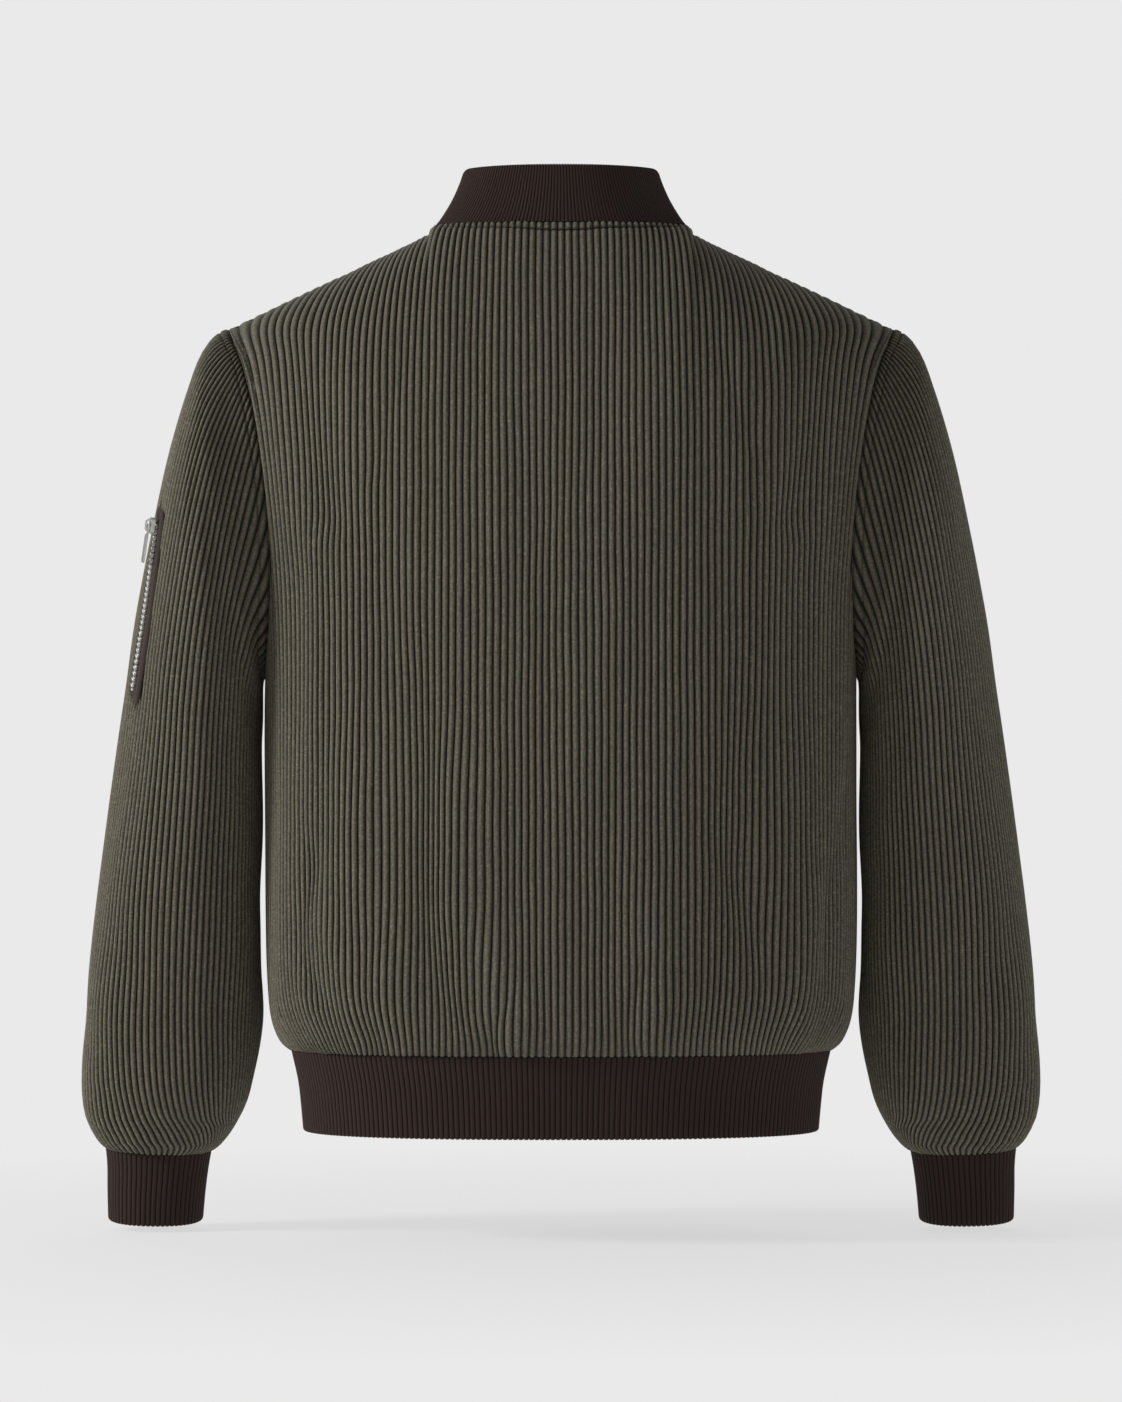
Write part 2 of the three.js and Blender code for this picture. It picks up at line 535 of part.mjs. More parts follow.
// A sleeve ring at a place along a table: angle 0 is the outer rail, 90 degrees the back
function ringPoint(rows, at, angle) {
  const value = (name) => column(rows, 'row', name, at);
  const out = new THREE.Vector3(value('outX'), 0, value('outZ'));
  const into = new THREE.Vector3(value('inX'), 0, value('inZ'));
  const across = out.clone().sub(into).multiplyScalar(0.5);
  const half = across.length();
  const turn = value('turn') * DEGREE;
  const depth = value('depth');
  const shape = (place) => {
    const a = half * power(Math.cos(place), 2 / SLEEVE_SQUARE);
    const b = depth * power(Math.sin(place), 2 / SLEEVE_SQUARE);
    return [a * Math.cos(turn) - b * Math.sin(turn), b * Math.cos(turn) + a * Math.sin(turn)];
  };
  let widest = 0;
  for (let i = 0; i < 90; i += 1) widest = Math.max(widest, shape(i * 4 * DEGREE)[0]);
  const [a, b] = shape(angle);
  const tilt = value('tilt') * DEGREE;
  return out.add(into).multiplyScalar(0.5)
    .addScaledVector(across.normalize(), (a * half) / widest)
    .add(new THREE.Vector3(0, value('middle') - b * Math.cos(tilt), -b * Math.sin(tilt)));
}
const numbered = (rows) => rows.map((row, i) => ({ ...row, row: i }));
const SLEEVE_TABLE = numbered(SLEEVE);
const CUFF_TABLE = numbered(CUFF);
const SLEEVE_LAST = SLEEVE.length - 1;
const CUFF_LAST = CUFF.length - 1;
const BLEND_RINGS = 2.5;      // rings over which the armhole's outline becomes a plain ring

function sleeveFold(at, angle) {
  let out = 0;
  for (const fold of SLEEVE_FOLDS) {
    const round = ((angle / DEGREE - fold.angle + 540) % 360) - 180;
    const along = (at - fold.ring - (fold.slope * round) / fold.span) / fold.rings;
    out += fold.depth * Math.exp(-(along ** 2) - (round / fold.span) ** 2);
  }
  return out;
}

// The right sleeve's outer surface: angle round it, along from 0 at the armhole to 1 at the cuff
function sleevePoint(angle, along) {
  const at = along * SLEEVE_LAST;
  const point = ringPoint(SLEEVE_TABLE, at, angle);
  const share = 1 - soften(at / BLEND_RINGS);
  if (share > 0) {
    const seam = armholePoint(angle);
    seam.x += SEAM_GAP + (point.x - seam.x) * soften(at / BLEND_RINGS);
    point.lerp(seam, share);
  }
  const [outer, inner] = [0, Math.PI].map((place) => ringPoint(SLEEVE_TABLE, at, place));
  const centre = outer.add(inner).multiplyScalar(0.5);
  return point.addScaledVector(point.clone().sub(centre).normalize(), sleeveFold(at, angle));
}
const RING_STEP = { across: 0.02, along: 0.01 };

function sleeveTube() {
  const columns = steps(SLEEVE_COLUMNS, 0, 2 * Math.PI).slice(0, -1);
  const rows = steps(SLEEVE_LAST, 0, 1);
  const outer = grid(sleevePoint, columns, rows);
  const inner = gridInside(sleevePoint, columns, rows, CLOTH, RING_STEP);
  const centre = new THREE.Vector3(0, 0, (SHOULDER_TIP.z + UNDERARM_Z) / 2);
  inner[0] = outer[0].map((point) => {
    centre.x = point.x;
    return point.clone().add(centre.clone().sub(point).normalize().multiplyScalar(CLOTH));
  });
  return wallGeometry(outer, inner, true);
}

const CUFF_ROWS = [0, 1];
function cuffTube() {
  const surface = (angle, along) => {
    const point = ringPoint(CUFF_TABLE, along * CUFF_LAST, angle);
    point.z -= SEAM_GAP * (1 - along);
    return point;
  };
  const columns = evenly(surface, CUFF_COLUMNS, 0, 2 * Math.PI).slice(0, -1);
  const outer = grid(surface, columns, CUFF_ROWS);
  const inner = gridInside(surface, columns, CUFF_ROWS, RIB_CLOTH, RING_STEP);
  return wallGeometry(ribbedRows(outer, inner, RIBS.cuff, true), inner, true);
}

function mirrored(geometry) {
  geometry.scale(-1, 1, 1);
  const index = geometry.getIndex();
  for (let i = 0; i < index.count; i += 3) {
    const second = index.getX(i + 1);
    index.setX(i + 1, index.getX(i + 2));
    index.setX(i + 2, second);
  }
  return geometry;
}

// The centre-front line from the waistband's bottom to the collar's top, and its outward side
function frontLine(along) {
  const hemLong = HEM_SEAM_Z - HEM_BOTTOM_Z;
  const bodyLong = -NECK.frontDrop - HEM_SEAM_Z;
  const total = hemLong + bodyLong + COLLAR_HEIGHT;
  const far = along * total;
  const z = HEM_BOTTOM_Z + far;
  let point;
  if (far < hemLong) point = hemPoint(1, far / hemLong);
  else if (far < hemLong + bodyLong) {
    const up = 1 - (1 - (far - hemLong) / bodyLong) ** (1 / TOP_EASE);
    point = bodyPoint(BACK_ARC + FRONT_ARC - FRONT_EDGE, up);
  } else point = collarPoint(1, (far - hemLong - bodyLong) / COLLAR_HEIGHT);
  return new THREE.Vector3(0, point.y, z);
}
function frontOut(along) {
  const step = 0.012;
  const way = frontLine(Math.min(along + step, 1)).sub(frontLine(Math.max(along - step, 0))).normalize();
  return new THREE.Vector3(0, way.z, -way.y);
}

// A strip of the front zip between two widths and two depths under the front's surface
function frontStrip(left, right, shallow, deep, from, to) {
  const rows = steps(ZIP.rows, from, to);
  const layer = (depth) => rows.map((along) => [left, right].map((x) => {
    const point = frontLine(along).addScaledVector(frontOut(along), -depth);
    point.x = x;
    return point;
  }));
  return wallGeometry(layer(shallow), layer(deep), false);
}

// The pocket's place on the left sleeve, worked out on the right one and then mirrored
const POCKET_MIDDLE = (POCKET.top + POCKET.foot) / 2 / SLEEVE_LAST;
const POCKET_TURN = POCKET.angle * DEGREE;
const POCKET_SPEED = sleevePoint(POCKET_TURN + 0.1, POCKET_MIDDLE)
  .distanceTo(sleevePoint(POCKET_TURN - 0.1, POCKET_MIDDLE)) / 0.2;
function pocketPoint(across, along, lift) {
  const at = mix(POCKET.top, POCKET.foot, along) / SLEEVE_LAST;
  const angle = POCKET_TURN + across / POCKET_SPEED;
  const out = normalOf(sleevePoint, angle, at, RING_STEP);
  return sleevePoint(angle, at).addScaledVector(out, lift);
}
const POCKET_LONG = pocketPoint(0, 0, 0).distanceTo(pocketPoint(0, 1, 0));

function pocketStrip(width, corner, low, high, from, to) {
  const along = steps(POCKET.rows, 0, 1).map((share) => (1 - Math.cos(share * Math.PI)) / 2);
  const long = (to - from) * POCKET_LONG;
  const layer = (lift) => along.map((share) => {
    const near = Math.min(share, 1 - share) * long;
    const missing = near < corner ? corner - Math.sqrt(corner ** 2 - (corner - near) ** 2) : 0;
    const half = width / 2 - missing;
    return steps(4, -half, half).map((across) => pocketPoint(across, mix(from, to, share), lift));
  });
  return wallGeometry(layer(high), layer(low), false);
}

// Joins closed geometries into one solid
const wasm = await Module();
wasm.setup();
function solid(geometry) {
  const bare = geometry.clone();
  bare.deleteAttribute('normal');
  bare.deleteAttribute('uv');
  const merged = mergeVertices(bare.index ? bare : mergeVertices(bare), 1e-4);
  return new wasm.Manifold(new wasm.Mesh({
    numProp: 3,
    vertProperties: new Float32Array(merged.getAttribute('position').array),
    triVerts: new Uint32Array(merged.getIndex().array),
  }));
}
function joined(parts) {
  const whole = parts.map(solid).reduce((a, b) => a.add(b)).getMesh();
  const geometry = new THREE.BufferGeometry();
  geometry.setAttribute('position', new THREE.Float32BufferAttribute(whole.vertProperties, 3));
  geometry.setIndex([...whole.triVerts]);
  return geometry;
}

// A plate with round corners and thickness, from an outline in its own X and Y
function plate(outline, low, high) {
  const settings = { depth: high - low, bevelEnabled: false, curveSegments: 5 };
  const geometry = new THREE.ExtrudeGeometry(outline, settings);
  return geometry.translate(0, 0, low);
}
function roundedOutline(width, from, to, radius) {
  const shape = new THREE.Shape();
  const half = width / 2;
  shape.moveTo(-half + radius, from);
  shape.lineTo(half - radius, from);
  shape.quadraticCurveTo(half, from, half, from + radius);
  shape.lineTo(half, to - radius);
  shape.quadraticCurveTo(half, to, half - radius, to);
  shape.lineTo(-half + radius, to);
  shape.quadraticCurveTo(-half, to, -half, to - radius);
  shape.lineTo(-half, from + radius);
  shape.quadraticCurveTo(-half, from, -half + radius, from);
  return shape;
}

// Slider: own X across the zip, Y along it towards its closed end, Z outwards
function sliderGeometry() {
  const end = SLIDER.long / 2;
  const body = plate(roundedOutline(SLIDER.wide, -end, end, SLIDER.corner), 0, SLIDER.thick);
  const half = ARCH.long / 2;
  const arch = new THREE.Shape();
  arch.moveTo(-half, 0);
  arch.lineTo(half, 0);
  arch.lineTo(half, ARCH.high - ARCH.bevel);
  arch.lineTo(half - ARCH.bevel, ARCH.high);
  arch.lineTo(-half + ARCH.bevel, ARCH.high);
  arch.lineTo(-half, ARCH.high - ARCH.bevel);
  const hole = new THREE.Path();
  const inner = half - ARCH.leg;
  hole.moveTo(-inner, ARCH.sunk);
  hole.lineTo(-inner, ARCH.high - ARCH.bar);
  hole.lineTo(inner, ARCH.high - ARCH.bar);
  hole.lineTo(inner, ARCH.sunk);
  arch.holes.push(hole);
  const bridge = plate(arch, -ARCH.wide / 2, ARCH.wide / 2);
  bridge.rotateX(QUARTER).rotateZ(QUARTER).translate(0, 0, SLIDER.thick - ARCH.sunk);
  return joined([body, bridge]);
}

// Pull tab: own origin on its hinge axis, which is X; it hangs down along -Y
function pullGeometry() {
  const bar = PULL.bar / 2;
  const narrow = ARCH.wide / 2 + PULL_SIDE_CLEAR;
  const shoulder = narrow + PULL.arm;
  const half = PULL.wide / 2;
  const flareTop = -PULL.eyeLong + 1;
  const flareFoot = -PULL.eyeLong - 2;
  const shape = new THREE.Shape();
  shape.moveTo(-shoulder, bar);
  shape.lineTo(-shoulder, flareTop);
  shape.lineTo(-half, flareFoot);
  shape.lineTo(-half, -PULL.long + PULL.corner);
  shape.quadraticCurveTo(-half, -PULL.long, 0, -PULL.long);
  shape.quadraticCurveTo(half, -PULL.long, half, -PULL.long + PULL.corner);
  shape.lineTo(half, flareFoot);
  shape.lineTo(shoulder, flareTop);
  shape.lineTo(shoulder, bar);
  const eye = new THREE.Path();
  eye.moveTo(-narrow, -bar);
  eye.lineTo(narrow, -bar);
  eye.lineTo(narrow, -PULL.eyeLong);
  eye.lineTo(-narrow, -PULL.eyeLong);
  shape.holes.push(eye);
  return plate(shape, -PULL.thick / 2, PULL.thick / 2);
}

const jacket = new THREE.Group();
function place(name, geometry, finish, frame = null) {
  const mesh = new THREE.Mesh(geometry, new THREE.MeshStandardMaterial(finish));
  mesh.name = name;
  if (frame) mesh.applyMatrix4(frame);
  jacket.add(mesh);
}

// A frame with its origin on a zip: closedWay is towards the zip's closed end, out is outwards
function zipFrame(origin, closedWay, out, lift) {
  const z = out.clone().normalize();
  const y = closedWay.clone().addScaledVector(z, -closedWay.dot(z)).normalize();
  const x = new THREE.Vector3().crossVectors(y, z);
  return new THREE.Matrix4().makeBasis(x, y, z).setPosition(origin.clone().addScaledVector(z, lift));
}

place('back', backPanel(), COLOURS.corduroy);
place('front_left', frontPanel(-1), COLOURS.corduroy);
place('front_right', frontPanel(1), COLOURS.corduroy);
place('sleeve_left', mirrored(sleeveTube()), COLOURS.corduroy);
place('sleeve_right', sleeveTube(), COLOURS.corduroy);
place('collar', collarBand(), COLOURS.rib);
place('hem_rib', hemBand(), COLOURS.rib);
place('cuff_left', mirrored(cuffTube()), COLOURS.rib);
place('cuff_right', cuffTube(), COLOURS.rib);

// Front zip: tapes between the front edges and the chain, box at the foot, slider at the top
const chainHalf = ZIP.chain / 2;
const tapeIn = chainHalf + SEAM_GAP;
const tapeOut = FRONT_EDGE - SEAM_GAP;
const tapeDeep = ZIP.tapeDeep + ZIP.tapeThick;
const tape = (left, right) => frontStrip(left, right, ZIP.tapeDeep, tapeDeep, 0, 1);
place('front_zip_tape_left', tape(-tapeOut, -tapeIn), COLOURS.tape);
place('front_zip_tape_right', tape(tapeIn, tapeOut), COLOURS.tape);
const onChain = (proud, from, to) => (
  frontStrip(-chainHalf, chainHalf, -proud, ZIP.chainThick - CHAIN_PROUD, from, to));
place('front_zip_chain', onChain(CHAIN_PROUD, BOX_TOP + ZIP_FOOT, CHAIN_TOP), COLOURS.nickel);
place('front_zip_box', onChain(BOX_PROUD, ZIP_FOOT, BOX_TOP), COLOURS.nickel);
const frontUp = frontLine(SLIDER_AT + 0.01).sub(frontLine(SLIDER_AT - 0.01));
const frontFrame = (lift) => zipFrame(frontLine(SLIDER_AT), frontUp, frontOut(SLIDER_AT), lift);
place('front_slider', sliderGeometry(), COLOURS.nickel, frontFrame(SLIDER_LIFT));
const liesOff = new THREE.Matrix4().makeRotationX(-FRONT_PULL_LIES * DEGREE);
const frontHinge = frontFrame(SLIDER_LIFT + PULL.axisHigh).multiply(liesOff);
place('front_pull', pullGeometry(), COLOURS.nickel, frontHinge);

// Sleeve pocket: welt strip, chain, slider and pull tab on the left sleeve
const weltTop = POCKET.lift + POCKET.thick;
const chainLow = weltTop + SEAM_GAP;
const chainTop = chainLow + POCKET_CHAIN.thick;
const welt = pocketStrip(POCKET.width, POCKET.corner, POCKET.lift, weltTop, 0, 1);
place('pocket_welt', mirrored(welt), COLOURS.rib);
const { width, corner, from, to } = POCKET_CHAIN;
place('pocket_chain', mirrored(pocketStrip(width, corner, chainLow, chainTop, from, to)), COLOURS.nickel);
const spot = (down, lift) => pocketPoint(0, POCKET_SLIDER.down + down, lift);
const sliderSpot = spot(0, chainTop + POCKET_SLIDER.lift);
const towardsTop = spot(-0.05, chainTop).sub(spot(0.1, chainTop));
const outwards = spot(0, 1).sub(spot(0, 0));
const flip = (vector) => new THREE.Vector3(-vector.x, vector.y, vector.z);
const pocketFrame = (lift) => zipFrame(flip(sliderSpot), flip(towardsTop), flip(outwards), lift);
place('pocket_slider', sliderGeometry(), COLOURS.nickel, pocketFrame(0));
place('pocket_pull', pullGeometry(), COLOURS.nickel, pocketFrame(PULL.axisHigh));

export default jacket;
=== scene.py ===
"""Looks of a corduroy bomber jacket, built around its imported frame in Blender.

Shapes are worked out in millimetres in the frame's own axes: +Z is up, the wearer faces +Y
and the wearer's right side is +X. Meshes are made in metres. The cloth's main surfaces are
functions of two parameters; wales and ribs are raised on them along their normals.
"""

import logging
import math
from dataclasses import dataclass
from enum import Enum
from typing import Callable, Sequence

import bpy
import numpy as np
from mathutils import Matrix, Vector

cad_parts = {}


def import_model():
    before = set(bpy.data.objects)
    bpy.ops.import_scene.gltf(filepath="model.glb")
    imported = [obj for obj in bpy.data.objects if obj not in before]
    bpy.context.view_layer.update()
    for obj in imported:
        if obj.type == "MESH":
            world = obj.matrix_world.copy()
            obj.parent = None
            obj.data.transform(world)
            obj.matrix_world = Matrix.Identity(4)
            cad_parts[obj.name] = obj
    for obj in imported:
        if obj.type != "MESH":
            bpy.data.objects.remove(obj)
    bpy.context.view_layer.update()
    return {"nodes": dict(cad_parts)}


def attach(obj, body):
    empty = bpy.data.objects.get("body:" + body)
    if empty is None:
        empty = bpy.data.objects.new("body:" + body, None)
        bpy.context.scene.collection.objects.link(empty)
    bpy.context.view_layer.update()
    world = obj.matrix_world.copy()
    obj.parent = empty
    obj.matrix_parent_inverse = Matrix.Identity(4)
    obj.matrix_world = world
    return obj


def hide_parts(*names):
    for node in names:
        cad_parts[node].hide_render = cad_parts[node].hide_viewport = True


log = logging.getLogger("jacket")
Array = np.ndarray
MM = 0.001
QUARTER = math.pi / 2
DEGREE = math.pi / 180

# Body, neck and shoulders, as in the part's source
HEM_SEAM_Z, HEM_BOTTOM_Z, UNDERARM_Z, CHEST_Z = -605.0, -665.0, -330.0, -400.0
FRONT_EDGE = 9.0
NECK_HALF, NECK_BACK, NECK_FRONT, NECK_DROP = 96.0, 70.0, 56.0, 70.0
NECK_DROP_FROM = 70 * DEGREE
COLLAR_HEIGHT, CUFF_HEIGHT = 43.0, 54.0
TIP_X, TIP_Z, ARMHOLE_HALF_DEPTH = 243.8, -75.0, 59.0
TOP_EASE, SIDEWAYS_PULL, FORWARD_PULL, SEAM_PULL = 1.6, 3, 7, 34
RIDGE_FROM, RIDGE_TO = 25.0, 150.0
SHOULDER_FROM_SIDE, BESIDE_FROM_SIDE, LOWER_ARMHOLE = 69.0, 62.0, 108 * DEGREE
SLEEVE_SQUARE, BLEND_RINGS = 2.3, 2.5

# Front zip and sleeve pocket
ZIP_CHAIN_HALF, ZIP_CHAIN_PROUD, ZIP_TAPE_DEEP = 2.9, 0.3, 0.4
ZIP_CHAIN_FROM, ZIP_CHAIN_TO = 0.019, 0.972
POCKET_TOP, POCKET_FOOT, POCKET_TURN = 4.62, 7.72, 1 * DEGREE
POCKET_HALF, POCKET_CORNER, POCKET_LIFT, POCKET_RISE = 12.0, 7.0, 0.4, 2.6
POCKET_CHAIN_HALF, POCKET_CHAIN_LOW, POCKET_CHAIN_HIGH = 2.6, 2.2, 4.6
POCKET_CHAIN_FROM, POCKET_CHAIN_TO = 0.08, 0.95

# Cloth
WALE_PITCH = 5.2
WALE_STEPS = np.array([0.0, 0.12, 0.26, 0.42, 0.58, 0.74, 0.88])
CORD_THICK, RIB_THICK, COLLAR_THICK = 2.0, 3.4, 4.6


def mix(a: Array, b: Array, share: Array) -> Array:
    """The value a share of the way from a to b."""
    return a + (b - a) * share


def soften(share: Array) -> Array:
    """A share from 0 to 1, eased at both ends: 3 s squared minus 2 s cubed."""
    s = np.clip(share, 0, 1)
    return s * s * (3 - 2 * s)


def power(value: Array, exponent: Array) -> Array:
    """A power that keeps its base's sign."""
    return np.sign(value) * np.abs(value) ** exponent


def bell(value: Array) -> Array:
    """A soft bump: e to the minus value squared."""
    return np.exp(-np.square(value))


def point(x: Array, y: Array, z: Array) -> Array:
    """Points from three coordinates of any matching shapes."""
    return np.stack(np.broadcast_arrays(x, y, z), -1)


def unit(vectors: Array) -> Array:
    """Vectors made one long."""
    return vectors / np.maximum(np.linalg.norm(vectors, axis=-1, keepdims=True), 1e-12)


class Table:
    """Rows of numbers with named columns, read anywhere along the first one."""

    def __init__(self, names: str, *rows: Sequence[float]) -> None:
        """Keeps the rows.

        Args:
            names: the columns' names, the first being the place along the table.
            rows: one row of numbers for each place.
        """
        self.names = names.split()
        self.rows = np.array(rows, float)

    @property
    def last(self) -> float:
        """The last place in the table."""
        return float(self.rows[-1, 0])

    def at(self, name: str, where: Array) -> Array:
        """A column as a smooth curve: cubic Hermite spans with the slopes of neighbouring rows.

        Args:
            name: the column.
            where: places along the table.

        Returns:
            The column's value at each place.
        """
        key, value = self.rows[:, 0], self.rows[:, self.names.index(name)]
        last = len(key) - 1
        row = np.clip(np.searchsorted(key, where) - 1, 0, last - 1)
        before = np.maximum(np.arange(last + 1) - 1, 0)
        after = np.minimum(np.arange(last + 1) + 1, last)
        slope = (value[after] - value[before]) / (key[after] - key[before])
        step = key[row + 1] - key[row]
        s = np.clip((where - key[row]) / step, 0, 1)
        bend = s * (1 - s) ** 2 * slope[row] - s * s * (1 - s) * slope[row + 1]
        return mix(value[row], value[row + 1], soften(s)) + step * bend


BODY = Table(
    "z half back front square",
    (-605, 199.5, 136, 134, 2.5),
    (-599, 206, 143, 141, 2.5),
    (-585, 212, 150, 147, 2.5),
    (-565, 214.8, 153, 149, 2.5),
    (-520, 216.4, 153, 149, 2.5),
    (-400, 216.6, 151, 146, 2.5),
    (-275, 217.5, 149, 142, 2.5),
    (-200, 222.5, 146, 137, 2.6),
    (-149, 227.5, 142, 130, 2.7),
    (-115, 232, 136, 122, 2.8),
    (-97, 236, 131, 116, 2.8),
    (-75, 243.8, 121, 106, 2.8),
    (-55, 244.5, 110, 95, 2.8),
    (-30, 244, 93, 80, 2.8),
    (0, 244, 70, 60, 2.8),
)
HEM = Table(
    "z half back front square",
    (-665, 190, 129, 127, 2.5),
    (-645, 191.8, 130, 128, 2.5),
    (-628, 193.8, 132, 130, 2.5),
    (-605, 199, 136, 134, 2.5),
)
SLEEVE = Table(
    "ring outX outZ inX inZ depth middle tilt turn",
    (0, 244.3, -75, 217.5, -330, 59, 0, 0, 0),
    (1, 255, -82, 221, -337, 69, 0, 0, 0),
    (2, 268, -105, 221.5, -345, 77, 0, 0, 5),
    (3, 279, -136, 221.5, -356, 81, 2, 0, 13),
    (4, 289, -171, 221.5, -370, 84, 4, 0, 22),
    (5, 299, -215, 221.5, -388, 85, 6, 0, 28),
    (6, 308, -258, 221.5, -408, 84, 8, 0, 31),
    (7, 316.5, -303, 221, -430, 82, 9, 0, 31),
    (8, 324, -353, 220.5, -456, 79, 10, 0, 27),
    (9, 331, -405, 220, -487, 76, 12, 1, 20),
    (10, 338, -456, 220, -520, 73, 15, 2, 14),
    (11, 344.5, -505, 219.5, -553, 70, 19, 3, 9),
    (12, 350, -552, 220.5, -585, 67, 24, 4, 5),
    (13, 354, -596, 224.5, -614, 63, 29, 5, 2),
    (14, 355.4, -630, 232, -640, 59, 33, 6, 0),
    (15, 352.5, -656, 242, -661, 53, 36, 6, 0),
    (16, 345.5, -671, 251, -674.5, 46, 38, 6, 0),
    (17, 338.6, -679, 259.5, -681.5, 38.5, 39, 6, 0),
)
CUFF = Table(
    "ring outX outZ inX inZ depth middle tilt turn",
    (0, 338.6, -679, 259.5, -681.5, 38.5, 39, 6, 0),
    (1, 337.4, -693, 262, -695, 37.5, 40, 6, 0),
    (2, 337.4, -712, 264.5, -713.5, 37, 42, 6, 0),
    (3, 337, -734, 266.5, -735, 36.5, 44, 6, 0),
)
COLLAR = Table(
    "up width depth",
    (0, 1, 1),
    (0.14, 0.945, 0.965),
    (0.48, 0.85, 0.91),
    (0.8, 0.785, 0.875),
    (1, 0.755, 0.86),
)


@dataclass(frozen=True)
class Fold:
    """A soft trough (depth below 0) or ridge down the body: head, foot, lean, S bend, width."""

    arc: float
    top: float
    foot: float
    lean: float
    sway: float
    width: float
    depth: float


# The first twelve are also in the solids; the rest are shallower creases seen in the cloth
BODY_FOLDS = (
    Fold(-128, -250, -596, 62, 12, 26, -5),
    Fold(-92, -330, -600, 58, 10, 24, 4.2),
    Fold(-168, -350, -590, 44, 6, 22, 2.6),
    Fold(138, -300, -596, -34, -8, 28, -3),
    Fold(178, -340, -598, -22, -6, 24, 2.4),
    Fold(30, -440, -602, 10, 3, 22, -2.2),
    Fold(-205, -60, -230, 40, 4, 22, -3.2),
    Fold(205, -60, -230, -40, -4, 22, -3.2),
    Fold(392, -200, -596, 40, 10, 28, -4.4),
    Fold(-400, -230, -596, -46, -9, 28, -4),
    Fold(470, -330, -600, 26, 6, 24, 3),
    Fold(-476, -300, -600, -24, -6, 24, 3.2),
    Fold(-212, -420, -570, 34, 12, 12, -2.4),
    Fold(-176, -460, -602, 22, -8, 14, 2.0),
    Fold(-150, -480, -606, 16, 6, 12, -1.8),
    Fold(-66, -490, -608, 16, -5, 13, -2.0),
    Fold(-38, -545, -608, -8, 3, 8, -1.8),
    Fold(62, -510, -608, -10, 4, 12, -1.6),
    Fold(120, -400, -600, 30, -9, 17, -2.2),
    Fold(176, -440, -604, 14, 6, 14, 1.9),
    Fold(228, -380, -560, -18, 7, 12, -1.8),
    Fold(-110, -70, -190, -22, 3, 11, -1.5),
    Fold(112, -60, -170, 22, -3, 11, -1.5),
    Fold(-20, -120, -420, 14, 5, 26, -1.2),
    Fold(60, -150, -460, -16, 5, 28, -1.1),
    Fold(350, -430, -606, 20, 5, 12, -2.0),
    Fold(-352, -440, -606, -18, 5, 12, -2.0),
    Fold(432, -500, -608, 8, -4, 10, -1.8),
    Fold(-520, -520, -608, -8, 4, 9, -1.6),
)


@dataclass(frozen=True)
class SleeveFold:
    """A soft trough or ridge across a sleeve: its ring, its angle, and its size both ways."""

    ring: float
    angle: float
    rings: float
    span: float
    slope: float
    depth: float


# The first five are also in the solids
SLEEVE_FOLDS = (
    SleeveFold(9.2, 150, 1.0, 70, 0.5, -4),
    SleeveFold(10.6, 205, 0.9, 80, -0.4, -4.5),
    SleeveFold(12.0, 120, 0.8, 75, 0.6, -3),
    SleeveFold(13.6, 230, 0.7, 70, 0.3, -3.4),
    SleeveFold(4.0, 120, 1.1, 50, 0.9, -3),
    SleeveFold(14.3, 60, 0.45, 46, 0.5, -1.8),
    SleeveFold(15.0, 100, 0.4, 40, -0.4, -1.6),
    SleeveFold(13.0, 20, 0.5, 50, 0.6, -1.6),
    SleeveFold(11.6, 60, 0.6, 44, 0.8, -1.5),
    SleeveFold(7.2, 110, 0.7, 40, 1.0, -1.6),
    SleeveFold(14.8, 300, 0.5, 50, 0.5, -1.8),
    SleeveFold(8.0, 300, 0.9, 60, -0.6, -2.0),
)


def section(rows: Table, turn: Array, z: Array) -> Array:
    """A rounded section: half width times a power of the turn's sine, depth times one of its cosine.

    Args:
        rows: the table of sections.
        turn: 0 at the centre back, half a circle at the centre front, positive towards +X.
        z: the level.

    Returns:
        The points.
    """
    exponent = 2 / rows.at("square", z)
    deep = power(np.cos(turn), exponent)
    reach = np.where(deep > 0, rows.at("back", z), rows.at("front", z))
    return point(rows.at("half", z) * power(np.sin(turn), exponent), -reach * deep, z)


def edge_turn(rows: Table, z: Array) -> Array:
    """The turn before the centre front at which a section is as wide as the two front edges."""
    return np.arcsin((FRONT_EDGE / rows.at("half", z)) ** (rows.at("square", z) / 2))


def neck_point(angle: Array) -> Array:
    """The neck seam: an ellipse round the neck, whose front drops on a cosine.

    Args:
        angle: 0 at the centre back, half a circle at the centre front.

    Returns:
        The points.
    """
    reach = np.where(np.cos(angle) > 0, NECK_BACK, NECK_FRONT)
    share = np.clip((np.abs(angle) - NECK_DROP_FROM) / (math.pi - NECK_DROP_FROM), 0, 1)
    drop = NECK_DROP * (1 - np.cos(math.pi * share)) / 2
    return point(NECK_HALF * np.sin(angle), -reach * np.cos(angle), -drop)


def armhole_point(angle: Array) -> Array:
    """The armhole: an ellipse in Z and Y whose X lies on the body's section at that level.

    Args:
        angle: 0 at the shoulder tip, 90 degrees at the back edge, 180 under the arm.

    Returns:
        The points.
    """
    middle = (TIP_Z + UNDERARM_Z) / 2
    z = middle + (TIP_Z - middle) * np.cos(angle)
    y = -ARMHOLE_HALF_DEPTH * np.sin(angle)
    square = BODY.at("square", z)
    reach = np.where(y < 0, BODY.at("back", z), BODY.at("front", z))
    return point(BODY.at("half", z) * (1 - np.abs(y / reach) ** square) ** (1 / square), y, z)


